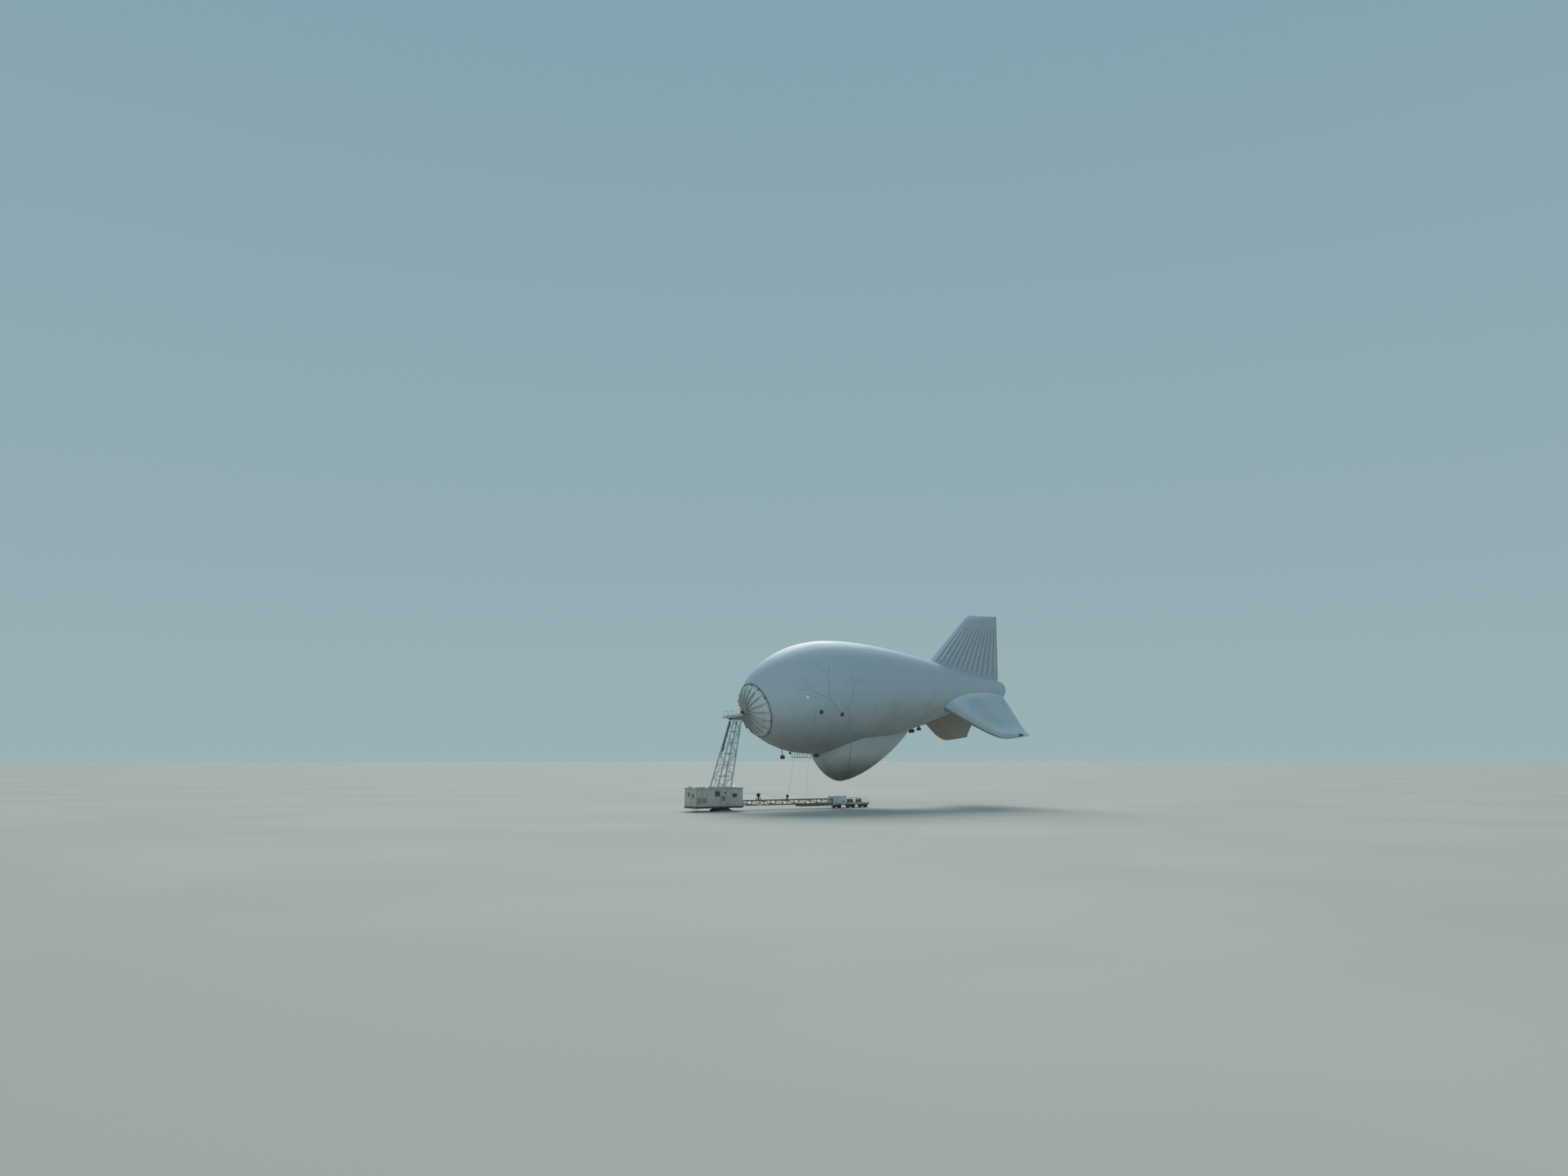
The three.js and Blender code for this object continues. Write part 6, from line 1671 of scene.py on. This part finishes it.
# Tail fins: air-filled wings of the hull's fabric, with inner webs that pull the skin in between their cells.
# The root is sewn to a flange on the hull. Their paint adds a sky-lit highlight on faces that look up, and painted
# shade on faces that look down and in the valleys between the cells.
FIN_CELL_STEPS = 8
FIN_TIP_HALF = 0.5 * M
LOWER_FIN = dict(cells=17, swell=0.24, under=0.3, smooth=(0.08, 0.50), droop=54, offset=1.4, tip=13.7, tip_drop=0.05,
                 lead=43.8, sweep=1.29, trail=61.4, lean=-0.08, hook=0.6, round=2.2, round_off=1.9, half=1.8,
                 twist=(1.3, -2.2), tip_twist=0.4)
FINS = {
    "fin_top": dict(side=1, cells=13, swell=0.20, under=1, smooth=(-0.1, 0.15), droop=-90, offset=0, tip=15.5,
                    tip_drop=0.35, lead=44.3, sweep=1.168, trail=62.4, lean=0.075, hook=0, round=0.9, round_off=1.0,
                    half=1.3, twist=(0, 0), tip_twist=0),
    "fin_port": dict(side=1, **LOWER_FIN),
    "fin_starboard": dict(side=-1, **LOWER_FIN),
}
FIN_FIELDS = ("cell", "reach", "depth")
FIN_CLEAN, FIN_DUSTY = (0.43, 0.49, 0.54), (0.33, 0.37, 0.39)
# Painted light: a pale blue highlight for faces that look up to the sky, and a dark olive painted shade for faces that
# look down.
FIN_SKYLIT_HIGHLIGHT, FIN_UNDERSIDE_SHADE = (0.57, 0.68, 0.765), (0.235, 0.235, 0.19)
FIN_VALLEY_SHADE = (0.27, 0.31, 0.33)


def wing(f):
    """The thickness of a wing's section at f of its chord: blunt in front, thin at the back."""
    return max(0.0, 2.97 * math.sqrt(f) - 1.26 * f - 3.52 * f ** 2 + 2.84 * f ** 3 - 1.04 * f ** 4)


def ease(value, low, high):
    """Rises smoothly from 0 at `low` to 1 at `high`."""
    part = min(1, max(0, (value - low) / (high - low)))
    return part * part * (3 - 2 * part)


def hull_gap(p):
    """How far a point lies outside the hull."""
    return math.hypot(p.y, p.z - rise_at(-p.x)) - radius_at(-p.x)


def rib_depth(fin, v, f, p):
    """How far the webs pull the skin in: little in front, at the tip and where the fin meets the hull."""
    front = 0.15 + 0.85 * ease(f, *fin["smooth"])
    return front * (1 - 0.75 * ease(v, 0.70, 0.93)) * (0.2 + 0.8 * ease(hull_gap(p), 0.0, 0.7))


def fin_thick(fin):
    """The way across a fin's thickness."""
    droop = math.radians(fin["droop"])
    return Vector((0, fin["side"] * math.sin(droop), math.cos(droop)))


def fin_point(fin, v, f, sign):
    """A point of a fin: v from root to tip, f from leading to trailing edge, sign for its two faces."""
    droop = math.radians(fin["droop"])
    span, thick = Vector((0, fin["side"] * math.cos(droop), -math.sin(droop))), fin_thick(fin)
    reach = 1.0 + v * (fin["tip"] - 1.0)
    corner = max(0, 1 - (fin["tip"] - reach) / fin["round"])
    lead = fin["lead"] + fin["sweep"] * (reach - 6.3) + fin["round_off"] * (1 - math.sqrt(1 - corner * corner))
    trail = fin["trail"] + fin["lean"] * (reach - 2) + fin["hook"] * max(0, 4 * v - 3) ** 2
    closing = max(0, 10 * v - 9)
    half = (fin["half"] * M + (FIN_TIP_HALF - fin["half"] * M) * v) * math.sqrt(max(0.0, 1 - closing * closing))
    body = wing(f)
    twist = (fin["twist"][0] + fin["twist"][1] * f) * (1 - v) ** 2 + fin["tip_twist"] * f * v ** 3
    p = Vector((-(lead + f * (trail - lead)) * M, 0, rise_at(HULL_LENGTH * 0.85)))
    p += thick * ((fin["offset"] + twist) * M + sign * half * body) + span * (reach - v * fin["tip_drop"] * f) * M
    cell = abs(math.sin(math.pi * f * fin["cells"]))
    width = (trail - lead) * M / fin["cells"]
    swell = fin["swell"] * width * (cell ** 0.65 - 0.35) * min(1, half / FIN_TIP_HALF) * min(1, 4 * body)
    swell *= rib_depth(fin, v, f, p) * (1 if sign > 0 else fin["under"])
    return p + thick * sign * max(-half * body, swell)


def fin_mesh(fin):
    """Points and faces of a fin with its tip closed, and the values that its paint needs at each point."""
    steps = fin["cells"] * FIN_CELL_STEPS
    fractions = [i / steps for i in range(steps + 1)]
    section = [(f, 1) for f in fractions] + [(f, -1) for f in reversed(fractions[1:-1])]
    stations = [*np.linspace(0, 0.88, 30), *(0.9 + 0.1 * np.sin(np.linspace(0, 1, 12) * math.pi / 2))]
    rings = [[fin_point(fin, v, f, sign) for f, sign in section] for v in stations]
    points, faces = skin_grid(rings)
    tip = range(len(points) - len(section), len(points))
    faces += [(tip[0], tip[1], tip[-1]), (tip[steps - 1], tip[steps], tip[steps + 1])]
    faces += [(tip[i], tip[i + 1], tip[-i - 1], tip[-i]) for i in range(1, steps - 1)]
    values = [(f * fin["cells"], v, rib_depth(fin, v, f, p))
              for v, ring in zip(stations, rings) for (f, sign), p in zip(section, ring)]
    return points, faces, values


def fin_paint(at):
    cell, reach, depth = (at.node("Attribute", {"attribute_name": name}, out="Fac") for name in FIN_FIELDS)
    seam = cell.line(0.06) * depth
    # Painted shade: the valleys between the cells, where the webs pull the skin in, are darkened.
    valley_shade = (1 - cell.math("PINGPONG", 0.5).step(0.0, 0.42)) * depth
    edge = (reach - 0.5).math("ABSOLUTE").step(0.44, 0.5)
    cloud = at.noise(0.6, 4, 0.55)
    streak = at.noise(2.2, 3, 0.6, (1.0, 0.3, 0.3)).step(0.45, 0.8)
    dust = (streak * 0.35 + (cloud - 0.4) * 0.7).step(0, 0.9)
    cloth = dust.mix(FIN_CLEAN, FIN_DUSTY)
    # Painted light: faces that turn up get the sky-lit highlight, faces that turn down the painted shade.
    facing = at.node("NewGeometry", out="Normal").split()[2]
    under = (facing * -1).step(0.15, 0.75)
    cloth = (facing.step(0.15, 0.5) * (1 - dust * 0.5)).mix(cloth, FIN_SKYLIT_HIGHLIGHT)
    cloth = (valley_shade * 0.75).mix(cloth, FIN_VALLEY_SHADE)
    cloth = under.mix(cloth, FIN_UNDERSIDE_SHADE)
    return {
        "Base Color": (seam * 0.35 * (1 - under) + edge * 0.15).mix(cloth, FABRIC_TAPE),
        "Roughness": 0.64 + cloud * 0.15,
        "Specular IOR Level": 0.35,
        "Normal": (seam * -0.4 + cloud * 0.5 + weave(at, 90) * 0.03).bump(0.5, 0.010),
    }


fin_fabric = surface("fin_fabric", fin_paint)
for name, fin in FINS.items():
    points, faces, values = fin_mesh(fin)
    skin = mesh_piece(name + "_skin", points, faces, fin_fabric, AEROSTAT)
    for label, column in zip(FIN_FIELDS, zip(*values)):
        skin.data.attributes.new(label, "FLOAT", "POINT").data.foreach_set("value", column)
    mount(skin, stands_for=name)


# Fin fittings: a bonded flange tape round each root, lacing buttons near the tips, and two dark patches on the
# port fin's tip.
BUTTON = [(0, 0.022), (0.035, 0.018), (0.045, 0.006), (0.045, -0.03)]


def fin_root(fin, f, sign):
    """Where a fin's face meets the hull, as real metres aft of the nose and degrees above port."""
    low, high = 0.0, 0.9
    for _ in range(24):
        v = (low + high) / 2
        p = fin_point(fin, v, f, sign)
        if hull_gap(p) < 0:
            low = v
        else:
            high = v
    return -p.x / M, math.degrees(math.atan2(p.z - rise_at(-p.x), p.y))


for fin in FINS.values():
    for sign in (1, -1):
        aft, angles = zip(*(fin_root(fin, f, sign) for f in np.linspace(0.0, 0.995, 80)))
        hull_strip(aloft, [*zip(aft, np.unwrap(angles, period=360))], 0.11, 0.014)
aloft.fit("fin_root_tapes", fin_fabric, "envelope_fabric", sharp=60)

for name, fin in FINS.items():
    spots = [(0.86, f) for f in np.linspace(0.12, 0.88, 8)]
    if name == "fin_top":
        spots += [(0.60, 0.30), (0.62, 0.44), (0.34, 0.36), (0.45, 0.62), (0.72, 0.52), (0.25, 0.55)]
    for sign in (1, -1) if name == "fin_top" else (1,):
        for v, f in spots:
            f = (round(f * fin["cells"] - 0.5) + 0.5) / fin["cells"]
            aloft.turned(BUTTON, fin_point(fin, v, f, sign), fin_thick(fin) * sign, 14)
aloft.fit("fin_buttons", dome_shell, "envelope_fabric")
fin = FINS["fin_port"]
for f in (0.63, 0.72):
    ends = [fin_point(fin, 0.975, end, 1) + fin_thick(fin) * 0.015 for end in about(f, 0.038)]
    aloft.bar(*ends, 0.26, 0.05, fin_thick(fin), 0.012)
aloft.fit("fin_tip_patches", black_paint, "black_fittings")


# Tether and tie line: a taut steel tether runs from the winch over the first sheave and down through a fairlead into
# the swivel, comes up round the second sheave and rises to the frame under the belly. A second line ties the
# frame's end to the boom.
TETHER_RADIUS = 0.007
GUIDE_GROOVE = 0.171
SWIVEL_GROOVE = 0.126
FAIRLEAD_X = -6.94
frame_front = AEROSTAT @ (frame_at(FRAME_FRONT) - AHEAD * 0.12)
frame_rear = AEROSTAT @ (frame_at(FRAME_REAR) + AHEAD * 0.12)
over = [GUIDE + (UP * math.cos(t) - AHEAD * math.sin(t)) * GUIDE_GROOVE for t in np.linspace(0.0, 0.18, 4)]
bench.pipe([(-1.60, 0, 1.482)] + over + [(FAIRLEAD_X, 0, 0.93)], TETHER_RADIUS, 10)
bench.fit("tether_lead", tether_rope, "black_fittings", sharp=80)
turns = np.linspace(0.99, math.pi / 2 + 0.05, 6)
under = [SWIVEL - (UP * math.cos(t) + AHEAD * math.sin(t)) * SWIVEL_GROOVE for t in turns]
rise = [under[-1].lerp(frame_front, f) for f in np.linspace(0.02, 1, 50)]
bench.pipe([(SWIVEL.x, 0, 0.925)] + under + rise, TETHER_RADIUS, 10)
tether = bench.fit("tether", tether_rope, "black_fittings", None, sharp=80)
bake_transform(tether)
bench.rod(frame_rear, (frame_rear.x + 0.3, 0.0, 0.90), 0.006, 8)
bench.block(about(frame_rear.x + 0.3, 0.06), about(0, 0.06), (0.885, 0.905))
bench.fit("tie_line", rail_paint, "mast_paint")
bench.block((-1.70, -1.64), about(0, 0.07), (1.40, 1.56), 0.008)
for z in (1.452, 1.512):
    bench.rod((-1.715, -0.05, z), (-1.715, 0.05, z), 0.018, 14)
bench.block(about(FAIRLEAD_X, 0.035), about(0, 0.035), (0.888, 0.915))
for side in (-1, 1):
    bench.block(about(FAIRLEAD_X, 0.025), about(side * 0.026, 0.006), (0.91, 0.965), 0.003)
bench.rod((FAIRLEAD_X, -0.03, 0.95), (FAIRLEAD_X, 0.03, 0.95), 0.012, 14)
bench.fit("tether_fairlead", black_paint, "black_fittings")
